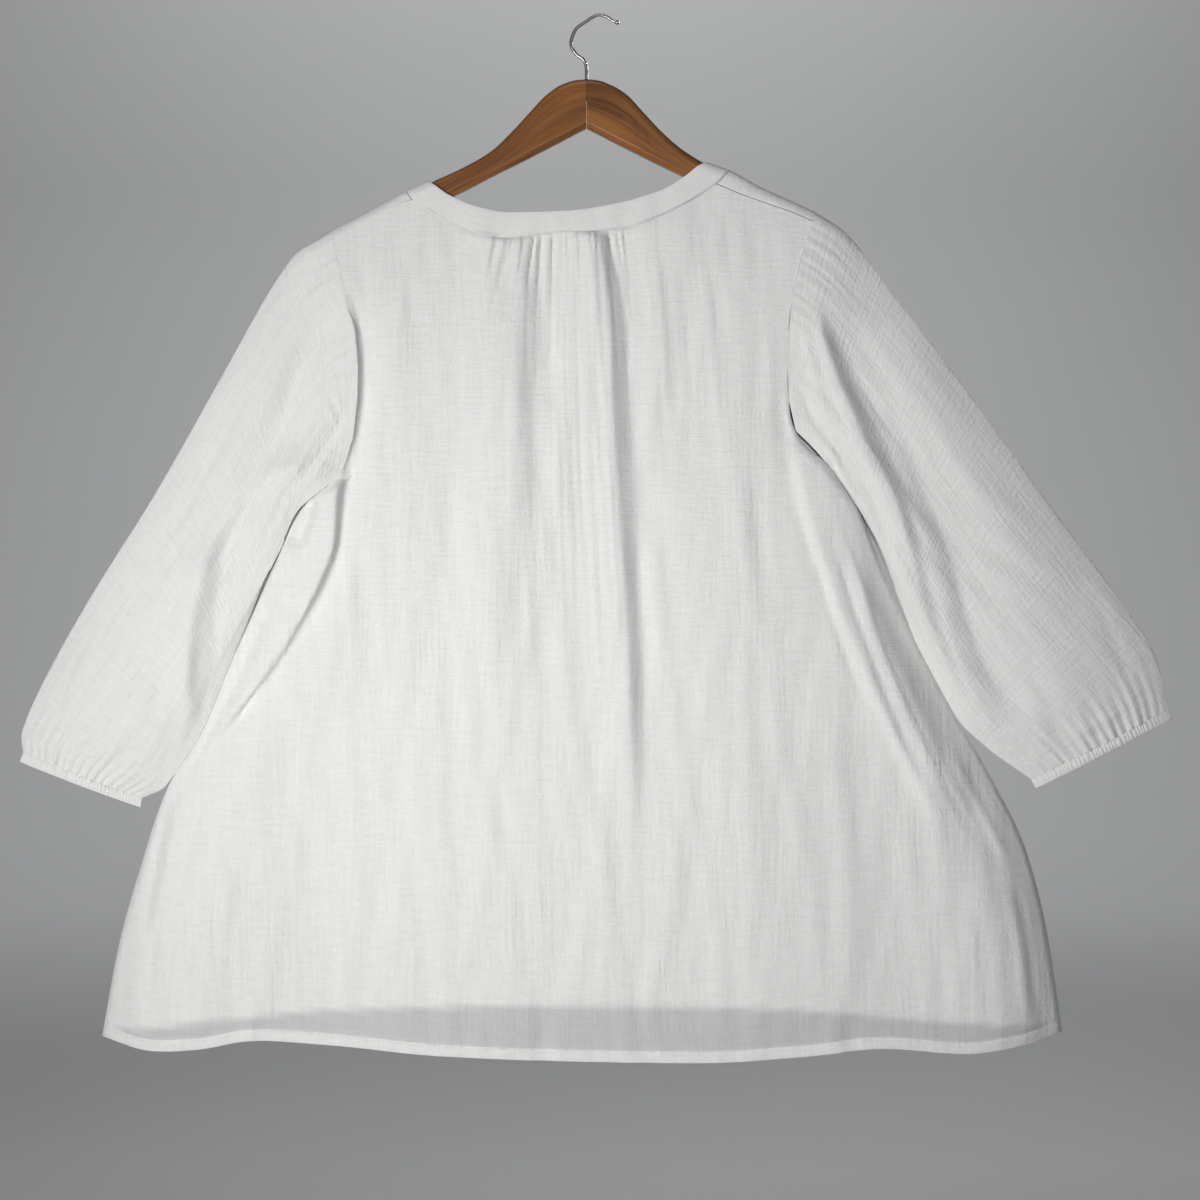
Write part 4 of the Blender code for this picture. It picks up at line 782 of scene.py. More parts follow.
def makeBack():
    neck = heightBy(neckBack[1:-1])
    leftSeam, rightSeam = (heightBy(shoulderSeam[hand]) for hand in (1, -1))
    leftX, rightX = shoulderSeam[1][0, 0], shoulderSeam[-1][-1, 0]
    leftNeck, rightNeck = shoulderSeam[1][-1, 0], shoulderSeam[-1][0, 0]
    first = cut["underarmRow"] * (armhole[1, 1] - armhole[0, 1]) / (armhole[-1, 1] - armhole[0, 1])

    def top(u):
        x = leftX + (rightX - leftX) * np.asarray(u, float)
        z = np.where(x >= leftNeck, leftSeam(x), np.where(x <= rightNeck, rightSeam(x), neck(x) - cut["seam"]))
        return np.stack([x, z], axis=-1)

    columns, rows = backPanel["columns"][None, :], backPanel["rows"][:, None]
    sides = [lambda v, hand=hand: edgePoint(first + (1 - first) * v, hand) for hand in (1, -1)]
    xz = coons(top, plainFoot(1), *sides, columns, rows)
    points = np.concatenate([body(xz[..., 0], xz[..., 1], 1), hemRows(backPanel["columns"], 1)])
    grain = np.concatenate([xz, points[len(xz):, :, ::2]])
    # painted shade: the band where the back hangs alone below the front's hem is darkened, partly the one layer's
    # own lower whiteness and partly the dark behind showing through
    oneLayerShade = ease((hemHeight[-1](points[..., 0]) + 9 - points[..., 2]) / 6)
    oneLayerShade[len(xz):] = 0
    oneLayerShade = oneLayerShade * ease((points[..., 2] - hemHeight[1](points[..., 0]) - cut["hemDeep"]) / 3)
    quads = gridFaces(*points.shape[:2])
    panel = makeMesh("back_panel", points, quads, panelGauze, uv=grain, fields={"thin": oneLayerShade})
    giveThickness(panel, cut["thread"])
    register(panel, "gauze", "back")
    return panel


back = makeBack()
print("back panel made")


# ---- front panel, with its split and the strips over the shoulders


def frontNeck(hand, share, line):
    # (x, z) of the front's neck seam or of the band's upper edge, from the top of the shoulder to the split.
    first = 0 if line == "seam" else 2
    place = along(neckFront[:, first:first + 2] * (1, -1))(share)
    return np.stack(
        [split["x"] + hand * place[..., 0], place[..., 1] - hand * cut["neckTilt"] * place[..., 0]], axis=-1
    )


wholeNeck = along(neckBack[:, :2] * (1, -1))
wholeEdge = along(neckBack[:, 2:] * (1, -1))
fineNeck = wholeNeck(np.linspace(0, 1, 2001))


def overNeck(hand, share):
    # Share of the back's neck line, from the top of the shoulder, share 0, to the shoulder seam, share 1.
    shoulder = neckBack[1 if hand > 0 else -2, 0]
    reached = np.abs(fineNeck[:, 0] - shoulder).argmin() / (len(fineNeck) - 1)
    return share * reached if hand > 0 else 1 - share * (1 - reached)


frontPanel = {
    "neckAt": {1: 0.153, -1: 0.772},  # share of the columns where the neck begins
    "splitAt": {1: 0.4815, -1: 0.4965},  # and where the split's edges are
    "middle": 0.489,
    "overShoulder": 31,  # columns from the armhole to the neck
    "rows": spaced((0, 0.12, 30), (0.12, 1, 106)),
    "grainAt": (900, 0),  # moves its cloth pattern away from the back's
}


def shoulderStrip(hand, count):
    # The strip of the front that goes over the shoulder to its seam on the back, from the armhole to the neck.
    tip = armhole[0, 0 if hand > 0 else 2]
    neck = frontNeck(hand, 0.0, "seam")[0] + hand * cut["seam"]
    topX = tip + (neck - tip) * np.linspace(0, 1, count)
    nearNeck = ease(1 - np.abs(topX - neck) / 16)
    seamX = topX + nearNeck * (wholeNeck(overNeck(hand, 1.0))[0] - frontNeck(hand, 0.0, "seam")[0])
    seamTip = armhole[1, 0 if hand > 0 else 2]
    seamX = np.minimum(seamX, seamTip) if hand > 0 else np.maximum(seamX, seamTip)
    seamLine = heightBy(shoulderSeam[hand])
    rows = []
    for share in (0.0, 0.01, 0.03, 0.06, 0.1, 0.16, 0.24, 0.34, 0.46, 0.6, 0.74, 0.87, 0.96, 1.0):
        edge = wholeNeck(overNeck(hand, share))
        byNeck = edge[0] + hand * 0.6
        x = (1 - nearNeck) * (topX + share * (seamX - topX)) + nearNeck * (byNeck + topX - topX[-1])
        straight = ridgeLine(x) - share * (ridgeLine(x) - seamLine(x) - cut["seam"])
        z = straight + nearNeck * (edge[1] + share * cut["seam"] - straight[-1])
        x = np.minimum(x, edgeX(z, 1)) if hand > 0 else np.maximum(x, edgeX(z, -1))
        row = body(x, z, 1)
        row[:, 1] += 0.2 * ease((share - 0.55) / 0.2) * ease((1.0 - share) / 0.06)
        rows.append(row)
    return np.array(rows)


def makeFront():
    neckAt, splitAt = frontPanel["neckAt"], frontPanel["splitAt"]
    ends = {1: armhole[0, 0], -1: armhole[0, 2]}
    crossing = {hand: frontNeck(hand, 0.0, "seam")[0] + hand * cut["seam"] for hand in (1, -1)}

    def neckEdge(hand, share):
        place = frontNeck(hand, share, "seam")
        place[..., 0] += hand * cut["seam"] * (1 - ease(share / 0.25))
        place[..., 1] -= cut["seam"] * ease(share / 0.12)
        return place

    def top(u):
        u = np.asarray(u, float)
        leftX = np.interp(u, (0, neckAt[1]), (ends[1], crossing[1]))
        rightX = np.interp(u, (neckAt[-1], 1), (crossing[-1], ends[-1]))
        leftShare = np.clip((u - neckAt[1]) / (splitAt[1] - neckAt[1]), 0, 1)
        rightShare = np.clip((neckAt[-1] - u) / (neckAt[-1] - splitAt[-1]), 0, 1)
        leftRoof, rightRoof = (np.stack([x, ridgeLine(x)], axis=-1) for x in (leftX, rightX))
        onLeft = np.where((u < neckAt[1])[..., None], leftRoof, neckEdge(1, leftShare))
        onRight = np.where((u > neckAt[-1])[..., None], rightRoof, neckEdge(-1, rightShare))
        return np.where((u < frontPanel["middle"])[..., None], onLeft, onRight)

    count = frontPanel["overShoulder"]
    roof = {1: neckAt[1] * np.linspace(0, 1, count), -1: 1 - (1 - neckAt[-1]) * np.linspace(0, 1, count)}
    columns = np.concatenate([
        roof[1], spaced((neckAt[1], splitAt[1], 62))[1:],
        spaced((splitAt[-1], neckAt[-1], 54)), roof[-1][::-1][1:],
    ])
    slotLeft = np.abs(columns - splitAt[1]).argmin()
    hemDrop = -float(hemHeight[-1](split["x"])) - cut["hemDeep"] - cut["aboveHem"]
    slotRow = (split["foot"] - split["top"]) / (hemDrop - split["top"])
    rows = np.sort(np.append(frontPanel["rows"], slotRow))
    u, v = columns[None, :], rows[:, None]
    xz = coons(top, plainFoot(-1), lambda s: edgePoint(s, 1), lambda s: edgePoint(s, -1), u, v)
    half = np.interp(-xz[:, slotLeft, 1], (split["top"], split["foot"]), (split["topHalf"], split["footHalf"]))
    keep = ease((-xz[:, slotLeft, 1] - split["foot"]) / 200)
    for hand, column in ((1, slotLeft), (-1, slotLeft + 1)):
        moved = (1 - keep) * (split["x"] + hand * half - xz[:, column, 0])
        near = columns <= splitAt[1] + 1e-6 if hand > 0 else columns >= splitAt[-1] - 1e-6
        xz[..., 0] += np.where(near, ease(1 - np.abs(columns - splitAt[hand]) / 0.1), 0) * moved[:, None]
    points = np.concatenate([body(xz[..., 0], xz[..., 1], -1), hemRows(columns, -1)])
    grain = np.concatenate([xz, points[len(xz):, :, ::2]])
    cells = np.ones((len(points) - 1, len(columns) - 1), bool)
    cells[: np.searchsorted(rows, slotRow), slotLeft] = False
    quads = [gridFaces(*points.shape[:2], flip=True, keep=cells)]
    allPoints, allGrain = [points.reshape(-1, 3)], [grain.reshape(-1, 2)]
    for hand in (1, -1):
        strip = shoulderStrip(hand, count)
        strip[0] = points[0, :count] if hand > 0 else points[0, ::-1][:count]
        start = sum(len(part) for part in allPoints)
        quads.append(gridFaces(*strip.shape[:2], start=start, flip=hand < 0))
        allPoints.append(strip.reshape(-1, 3))
        allGrain.append(strip[..., ::2].reshape(-1, 2))
    panel = makeMesh(
        "front_panel", np.concatenate(allPoints), np.concatenate(quads), panelGauze,
        uv=np.concatenate(allGrain) + frontPanel["grainAt"], merge=True,
    )
    giveThickness(panel, cut["thread"])
    register(panel, "gauze", "front")
    return panel


front = makeFront()
print("front panel made")


# ---- neckband: folded double, carried along the neck seam

neckband = {"thick": 1.7, "puff": 0.25, "ripple": 0.10, "grainAt": (0, 2000)}


def makeNeckband():
    # A flat loop of section points, seam to edge outside and back inside, carried along both neck lines.
    frontShares = spaced((0, 0.12, 14), (0.12, 1, 90))
    leftEnd, rightEnd = overNeck(1, 1.0), overNeck(-1, 1.0)
    backShares = np.concatenate([
        np.linspace(0.0, leftEnd, 14)[1:], np.linspace(leftEnd, rightEnd, 190)[1:-1],
        np.linspace(rightEnd, 1.0, 14)[:-1],
    ])
    seamLine, edgeLineXz = (
        np.concatenate([frontNeck(1, frontShares[::-1], line), whole(backShares), frontNeck(-1, frontShares, line)])
        for line, whole in (("seam", wholeNeck), ("edge", wholeEdge))
    )
    side = np.repeat([-1, 1, -1], [len(frontShares), len(backShares), len(frontShares)])
    across = np.linspace(0, 1, 9)
    outer = []
    for share in across:
        place = (1 - share) * seamLine + share * edgeLineXz
        onBack, onFront = body(place[:, 0], place[:, 1], 1), body(place[:, 0], place[:, 1], -1)
        surface = np.where((side > 0)[:, None], onBack, onFront)
        swell = np.sin(np.pi * share)
        ripple = neckband["ripple"] * np.sin(np.arange(len(side)) * 0.55 + 3 * share)
        puff = neckband["puff"] * swell + ripple * swell
        roof = np.clip((ridgeLine(place[:, 0]) - place[:, 1]) / 6, 0, 1)
        outer.append(surface + np.stack([0 * puff, side * puff * roof, 0 * puff], -1))
    outer = np.array(outer)
    normal = unit(np.cross(np.gradient(outer, axis=1), np.gradient(outer, axis=0)))
    deep = neckband["thick"]
    inner = outer - deep * normal
    up = unit(outer[-1] - outer[-2])
    over = [
        outer[-1] + up * deep * 0.35 * np.sin(a) - normal[-1] * deep * (0.5 - 0.5 * np.cos(a))
        for a in np.radians((35, 65, 90, 115, 145))
    ]
    loop = np.concatenate([outer, np.array(over), inner[::-1]])
    length = runLength(outer[4])
    down = np.concatenate([across * 20, 20 + np.arange(1, 6) * 0.3, 22 + across * 20])
    uv = np.stack(np.broadcast_arrays(length[None, :], down[:, None]), axis=-1) + neckband["grainAt"]
    loop, uv = loop.transpose(1, 0, 2), uv.transpose(1, 0, 2)
    quads = [gridFaces(*loop.shape[:2], ring=True)]
    count = loop.shape[1]
    caps = []
    for row in (0, len(loop) - 1):
        start = row * count
        half = count // 2
        pairs = [(start + i, start + i + 1, start + count - 2 - i, start + count - 1 - i) for i in range(half - 1)]
        caps.append(np.array(pairs) if row == 0 else np.array(pairs)[:, ::-1])
    band = makeMesh("neckband_strip", loop, np.concatenate(quads + caps), bandGauze, uv=uv)
    register(band, "gauze", "neckband")
    return band, outer, normal


band, bandOuter, bandNormal = makeNeckband()
print("neckband made")


# ---- sleeves and cuffs

# Each sleeve: its outer edge; its inner edge as drop and distance from the body's side; the cuff's lower corners;
# and its folds and finer creases
sleeves = {
    "left": {
        "hand": 1,
        "outer": ((211.0, 171.4), (225.0, 180.0), (240.0, 189.0), (254.0, 208.0), (300.0, 288.0), (356.0, 387.0),
                  (418.0, 487.0), (454.0, 553.0), (465.0, 578.0), (469.0, 592.0), (467.7, 604.7)),
        "inner": ((395.5, 0.1), (410.0, 1.6), (436.0, 5.0), (462.0, 1.4), (500.0, 0.3), (560.0, 0.3), (620.0, 0.3),
                  (634.0, 3.0), (642.8, 17.7)),
        "cuffOuter": (470.5, 612.7),
        "cuffInner": (370.0, 650.6),
        "folds": [
            (((202, 216), (197, 250), (194, 288), (197, 330), (206, 362), (216, 384), (236, 412)), 5.0, 34, 6, -7.0),
            (((212, 372), (232, 366), (254, 370), (278, 386), (298, 410), (314, 440), (324, 478),
              (331, 518), (331, 548), (327, 576), (333, 606)), 7.0, 11, 9, -2.0),
            (((256, 446), (284, 456), (298, 486), (303, 530), (316, 590)), -3.5, 9, 9),
            (((214, 214), (228, 262), (246, 312), (268, 358), (296, 412), (316, 462)), -10.0, 18, 20),
            (((212, 186), (226, 210), (244, 240), (262, 276), (288, 320), (316, 372), (350, 440)), -5.0, 9, 5),
            (((206, 196), (220, 222), (240, 258), (258, 296), (276, 336)), 3.0, 4, 10),
            (((395, 487), (418, 533), (435, 578)), 3.0, 9, 14),
        ],
        "creases": [
            (((212, 240), (222, 290), (236, 340), (246, 368)), -1.3, 4.0, 4.0),
            (((220, 230), (236, 290), (252, 350)), 1.0, 5.0, 5.0),
            (((212, 300), (226, 336), (248, 362)), 1.4, 4.0, 4.0),
            (((206, 320), (218, 350), (240, 372)), -1.3, 3.0, 3.0),
            (((232, 300), (262, 350), (288, 384)), -1.2, 5.0, 5.0),
            (((250, 340), (276, 368), (304, 400)), 1.2, 5.0, 5.0),
            *fan(((244, 344), (224, 353), (204, 362)), ((284, 392), (270, 402), (254, 416)), 10, 1.3, 1.9),
            *fan(((214, 262), (208, 272), (204, 290)), ((236, 300), (222, 316), (208, 344)), 8, 1.0, 1.7),
            (((226, 376), (234, 390), (238, 404)), -1.8, 3.0, 3.0),
            (((298, 436), (306, 480), (312, 540)), -1.8, 5.0, 5.0),
            (((290, 470), (304, 520), (318, 570)), 1.4, 4.0, 4.0),
            (((300, 500), (316, 560), (336, 606)), -1.4, 3.0, 3.0),
            (((330, 470), (340, 530), (350, 590)), 1.0, 8.0, 8.0),
            (((404, 492), (424, 536), (440, 575)), -1.3, 3.0, 3.0),
            (((388, 500), (406, 540), (420, 580)), -0.9, 4.0, 4.0),
            (((412, 486), (432, 528), (450, 566)), 1.0, 5.0, 5.0),
            (((262, 250), (312, 340), (368, 440)), 0.8, 14.0, 12.0),
            (((282, 320), (330, 410), (376, 500)), -0.8, 12.0, 12.0),
            (((380, 600), (400, 606), (424, 600)), 1.2, 4.0, 4.0),
            (((356, 612), (378, 618), (402, 612)), -1.1, 3.0, 3.0),
        ],
    },
    "right": {
        "hand": -1,
        "outer": ((-190.0, 156.5), (-213.0, 171.4), (-227.0, 187.0), (-240.0, 204.6), (-303.0, 287.6),
                  (-352.0, 354.0), (-400.0, 420.5), (-449.0, 487.0), (-470.0, 520.0), (-480.0, 553.0),
                  (-482.6, 569.0)),
        "inner": ((366.0, 0.1), (385.0, 0.2), (403.0, 0.6), (444.0, 4.6), (489.0, 2.6), (520.0, 0.3), (575.0, 0.3),
                  (600.0, 10.0), (627.0, 32.3)),
        "cuffOuter": (-486.0, 576.8),
        "cuffInner": (-372.5, 635.0),
        "folds": [
            (((-186, 226), (-205, 286), (-227, 338), (-246, 374), (-257, 398), (-265, 428), (-283, 495), (-304, 545),
              (-340, 600)), 7.5, 16, 5, 2.5),
            (((-204, 240), (-236, 310), (-268, 366), (-292, 412), (-326, 520), (-362, 590)), -8.0, 12, 34),
            (((-262, 262), (-330, 380), (-400, 490)), 3.0, 28, 28),
        ],
        "creases": [
            (((-178, 250), (-190, 300), (-204, 346)), 1.3, 5.0, 4.0),
            (((-184, 240), (-200, 300), (-222, 350)), -1.2, 4.0, 4.0),
            (((-192, 236), (-214, 300), (-240, 356)), 1.0, 5.0, 5.0),
            (((-176, 300), (-188, 330), (-204, 352)), -1.3, 3.0, 3.0),
            *fan(((-171, 296), (-179, 284), (-186, 268)), ((-212, 374), (-230, 364), (-248, 352)), 13, 0.9, 1.6),
            *fan(((-222, 300), (-236, 322), (-250, 348)), ((-196, 330), (-216, 348), (-238, 374)), 6, 0.9, 1.8),
            (((-198, 352), (-204, 358), (-209, 368)), 2.0, 3.0, 3.0),
            (((-199, 360), (-203, 366), (-208, 374)), -2.6, 1.8, 1.8),
            (((-201, 364), (-214, 384), (-228, 404)), -1.2, 2.0, 2.0),
            (((-234, 330), (-262, 380), (-290, 430)), -1.1, 5.0, 5.0),
            (((-262, 420), (-276, 470), (-296, 530)), -1.6, 4.0, 4.0),
            (((-250, 420), (-262, 460), (-280, 510)), 1.2, 4.0, 4.0),
            (((-290, 470), (-312, 540), (-344, 596)), 1.2, 5.0, 5.0),
            (((-300, 440), (-326, 520), (-362, 590)), -1.0, 6.0, 6.0),
            (((-250, 280), (-310, 370), (-372, 460)), 0.9, 14.0, 14.0),
            (((-280, 330), (-334, 420), (-392, 510)), -0.9, 14.0, 14.0),
            (((-420, 470), (-440, 520), (-452, 560)), -1.0, 5.0, 5.0),
            (((-400, 590), (-424, 580), (-448, 566)), 1.0, 4.0, 4.0),
        ],
    },
}
sleeveShape = {
    "depth": ((0.0, 14.0), (0.2, 17.0), (0.5, 19.0), (0.8, 19.0), (0.94, 13.5), (1.0, 10.0)),
    "capGathers": 10, "capFirst": 4, "capFrom": 0.035, "capStep": 0.042, "capHigh": 2.6,
    "cuffGathers": 16, "cuffHigh": 2.8, "cuffDeep": 9.5, "ribs": 38, "ribHigh": 1.0,
    "capShares": (0.0, 0.008, 0.022, 0.045, 0.065, 0.09, 0.125, 0.25, 0.37, 0.49, 0.62, 0.75, 0.87, 1.0),
}
evenShares = np.linspace(0, 1, 132)
sleeveColumns = 0.62 * evenShares + 0.38 * (0.5 - 0.5 * np.cos(np.pi * evenShares))


def armholeLine(hand):
    # The armhole moved out by the sewing's clearance, and the body's own edge beside it, by the share of its length.
    corners = edgePoint(cut["underarmRow"] * np.array(sleeveShape["capShares"]), hand)
    way = unit(np.gradient(corners, axis=0))
    moved = corners + cut["sleeveClear"] * np.stack([-way[:, 1], way[:, 0]], axis=-1) * hand
    length = runLength(moved)
    length /= length[-1]
    return [
        lambda s, line=line: np.stack([np.interp(s, length, line[:, i]) for i in (0, 1)], axis=-1)
        for line in (moved, corners)
    ]


def withGathers(waves, s, w, side):
    # Adds the gathers that fade from the cap, the first few the highest, and those that fade from the cuff.
    for i in range(sleeveShape["capGathers"]):
        at = sleeveShape["capFrom"] + sleeveShape["capStep"] * i + 0.008 * np.sin(i * 2.3 + side)
        long = 0.06 + 0.10 * uneven(i + 3 * side, 0.2)
        first = i < sleeveShape["capFirst"]
        tall = sleeveShape["capHigh"] * (1.0 if first else 0.4) * uneven(i + side) * np.clip(1 - w / long, 0, 1)
        waves = waves + tall * np.exp(-(((s - at) / 0.011) ** 2))
        deep = (0.8 if first else 0.4) * uneven(i + 2 * side, 0.3) * np.clip(1 - w / (long * 1.4), 0, 1)
        waves = waves - deep * np.exp(-(((s - at - sleeveShape["capStep"] / 2) / 0.006) ** 2))
    count = sleeveShape["cuffGathers"]
    number = np.floor(s * count)
    long = 0.08 + 0.06 * uneven(number + 5 * side, 0.0)
    low = sleeveShape["cuffHigh"] * uneven(number + 2 * side) * np.clip(1 - (1 - w) / long, 0, 1)
    waves = waves + low * (0.5 - 0.5 * np.cos(2 * np.pi * s * count))
    swirl = s * count * 2 + 1.1 * np.sin(s * 19 + side)
    return waves + 0.55 * np.sin(2 * np.pi * swirl) * ease(1 - (1 - w) / 0.11) * uneven(np.floor(swirl), 0.2)


def makeSleeve(name, plan):
    # Rings between the sleeve's outer and inner edge: a Coons patch in the plane, a lens for the depth on each side,
    # then folds, creases and gathers.
    hand = plan["hand"]
    arm, bodyEdge = armholeLine(hand)
    outer = along(np.array(plan["outer"]) * (1, -1))
    inner = np.array(plan["inner"])
    clear = smooth(inner[:, 0], inner[:, 1])
    drops = np.linspace(inner[0, 0], inner[-1, 0], 80)
    innerEdge = along(np.stack([edgeX(-drops, hand) + hand * clear(drops), -drops], axis=-1))
    depth = smooth(*np.array(sleeveShape["depth"]).T)

    def startAt(w):
        return np.clip(1 - np.asarray(w) / 0.02, 0, 1)[..., None]

    outerLine = lambda w: outer(w) + startAt(w) * (arm(0.0) - outer(0.0))
    innerLine = lambda w: innerEdge(w) + startAt(w) * (arm(1.0) - innerEdge(0.0))
    foot = lambda s: outer(1.0) + np.asarray(s)[..., None] * (innerEdge(1.0) - outer(1.0))
    w = spaced((0, 0.1, 22), (0.1, 0.84, 70), (0.84, 1.0, 30))[:, None]
    s = sleeveColumns[None, :]
    xz = coons(arm, foot, outerLine, innerLine, s, w)
    width = np.linalg.norm(xz[:, -1] - xz[:, 0], axis=-1)
    beside = bodyEdge(sleeveColumns)
    seamY = np.abs(body(beside[:, 0], beside[:, 1], 1, fine=False)[:, 1])[None, :]
    roof = arch((ridgeLine(beside[:, 0]) - beside[:, 1]) / cut["roofRound"])[None, :]
    blend = ease(w / 0.13)
    form = leaf(s) + 0.9 * (lens(s, 6) - leaf(s)) * (s > 0.5) * (1 - ease((w - 0.2) / 0.35))
    base = (1 - blend) * np.maximum(seamY, 1.2 * lens(s)) + blend * depth(w) * form
    ends = (1 - blend) * np.where(s < 0.5, np.maximum(roof, lens(s)), lens(s)) + blend * form
    halves = []
    for side in (1, -1):
        high, leanX, leanZ = field(plan["folds"], xz[..., 0], xz[..., 1])
        fine = field(plan["creases"], xz[..., 0], xz[..., 1])[0]
        share = 1.0 if side > 0 else 0.6
        waves = share * (high * ease(w / 0.014) + fine * ease(w / 0.03))
        waves = withGathers(waves, s, w, side)
        waves = waves + crumple((s - 0.5) * width[:, None], w * 480, 5.0 + side + hand) * ease(w / 0.1) * 1.2
        wall = cut["wall"] * ends
        y = np.maximum(base + waves * leaf(s), wall + 0.9 * lens(s))
        fade = share * ease(w / 0.012) * form
        halves.append(np.stack([xz[..., 0] + leanX * fade, side * y, xz[..., 1] + leanZ * fade], axis=-1))
    points = np.concatenate([halves[0], halves[1][:, 1:-1][:, ::-1]], axis=1)
    length = runLength(xz[:, len(sleeveColumns) // 2])
    across = (sleeveColumns[None, :] - 0.5) * width[:, None]
    uv = np.stack(np.broadcast_arrays(across, length[:, None]), axis=-1)
    uv = np.concatenate([uv, uv[:, 1:-1][:, ::-1]], axis=1) + (1800 + 700 * hand, 0)
    quads = gridFaces(*points.shape[:2], ring=True, flip=hand < 0)
    piece = makeMesh(f"sleeve_{name}_cloth", points, quads, panelGauze, uv=uv)
    giveThickness(piece, cut["thread"])
    register(piece, "gauze", f"sleeve_{name}")
    return piece


def makeCuff(name, plan):
    # The elastic casing: a closed ring of section loops, ribbed outside, plain inside, swelling between its edges.
    hand = plan["hand"]
    topOuter = np.array(plan["outer"][-1]) * (1, -1)
    drop, clear = plan["inner"][-1]
    topInner = np.array([float(edgeX(-drop, hand)) + hand * clear, -drop])
    footOuter, footInner = np.array(plan["cuffOuter"]) * (1, -1), np.array(plan["cuffInner"]) * (1, -1)
    down = unit((footOuter + footInner - topOuter - topInner) / 2)
    reach = np.linalg.norm(topInner - topOuter)
    steps = 560
    turn = (np.arange(steps) + 0.5) / steps
    s = np.where(turn < 0.5, 2 * turn, 2 - 2 * turn)
    s = 0.75 * s + 0.25 * (0.5 - 0.5 * np.cos(np.pi * s))
    side = np.where(turn < 0.5, 1, -1)
    deep = leaf(s)
    phase = s * sleeveShape["ribs"] + 0.35 * np.sin(s * 23 + side) + 0.2 * np.sin(s * 57)
    rib = (0.5 - 0.5 * np.cos(2 * np.pi * phase)) * uneven(np.floor(phase), 0.55) * sleeveShape["ribHigh"]
    loop = []
    for t in (0.0, 0.06, 0.16, 0.3, 0.45, 0.6, 0.75, 0.88, 0.96, 1.0):
        start = topOuter + s[:, None] * (topInner - topOuter) + down * cut["seam"]
        xz = (1 - t) * start + t * (footOuter + s[:, None] * (footInner - footOuter))
        swell = 0.9 * np.sin(np.pi * t) ** 0.6
        y = (sleeveShape["cuffDeep"] + swell + (0.25 + rib) * np.sin(np.pi * np.clip(t, 0.04, 0.96)) ** 0.5) * deep
        loop.append(np.stack([xz[:, 0], side * y, xz[:, 1]], axis=-1))
    for t in (1.0, 0.66, 0.33, 0.0):
        place = s + cut["wall"] / reach * (1 - 2 * s)
        start = topOuter + place[:, None] * (topInner - topOuter) + down * cut["seam"]
        xz = (1 - t) * start + t * (footOuter + place[:, None] * (footInner - footOuter))
        loop.append(np.stack([xz[:, 0], side * (sleeveShape["cuffDeep"] - cut["wall"]) * deep, xz[:, 1]], axis=-1))
    loop = np.array(loop)
    around = runLength(loop[4])
    loop = np.concatenate([loop, loop[:1]])
    over = np.concatenate([np.linspace(0, 9, 10), np.linspace(10, 19, 5)])
    uv = np.stack(np.broadcast_arrays(over[:, None] * 3, around[None, :]), axis=-1) + (2600, 300 * hand)
    quads = gridFaces(*loop.shape[:2], ring=True, flip=hand < 0)
    piece = makeMesh(f"cuff_{name}_casing", loop, quads, bandGauze, uv=uv, merge=True)
    register(piece, "gauze", f"cuff_{name}")
    return piece


for name, plan in sleeves.items():
    makeSleeve(name, plan)
    makeCuff(name, plan)
print("sleeves and cuffs made")


# ---- hanger

hanger = {
    "half": 6.0, "chamfer": 5.0, "wire": 1.4, "from": 0.15, "to": 198.0,
    "tilt": {1: 1.2, -1: -0.8},  # how far each tip hangs lower than in the rows
    "bore": {"radius": 0.0017, "depth": 0.030, "location": (0, 0, -0.0503)},  # metres
    # out from the joint: drop of the top on the left and on the right, of the underside, and share of the thickness
    "rows": np.array([
        (0.15, 46.3, 46.3, 87.4, 1.0), (8.0, 46.9, 46.9, 91.4, 1.0), (21.0, 51.0, 51.4, 98.2, 1.0),
        (33.0, 59.1, 58.7, 104.3, 1.0), (47.0, 73.7, 73.4, 111.4, 1.0), (62.0, 90.0, 89.4, 118.9, 1.0),
        (79.0, 106.0, 104.3, 127.2, 1.0), (97.0, 116.9, 115.6, 136.6, 1.0), (131.6, 133.2, 131.8, 153.0, 0.97),
        (155.0, 144.1, 143.4, 163.5, 0.92), (186.0, 161.6, 158.2, 177.6, 0.80), (194.5, 167.0, 164.8, 181.2, 0.66),
        (198.0, 171.0, 169.5, 179.5, 0.40),
    ]),
    # x, drop, share of the wire's thickness
    "path": ((0.0, 65.0, 1.0), (0.0, 38.0, 1.0), (2.2, 30.6, 1.0), (8.6, 25.6, 1.0), (12.9, 17.0, 1.0),
             (9.7, 6.2, 1.0), (0.0, -1.75, 1.0), (-10.6, -7.2, 1.0), (-17.0, -5.4, 1.0), (-22.0, -2.2, 0.75),
             (-27.4, -0.2, 0.75)),
    "ball": 2.05,
}
woodFinish, steelFinish = makeWood(), makeSteel()


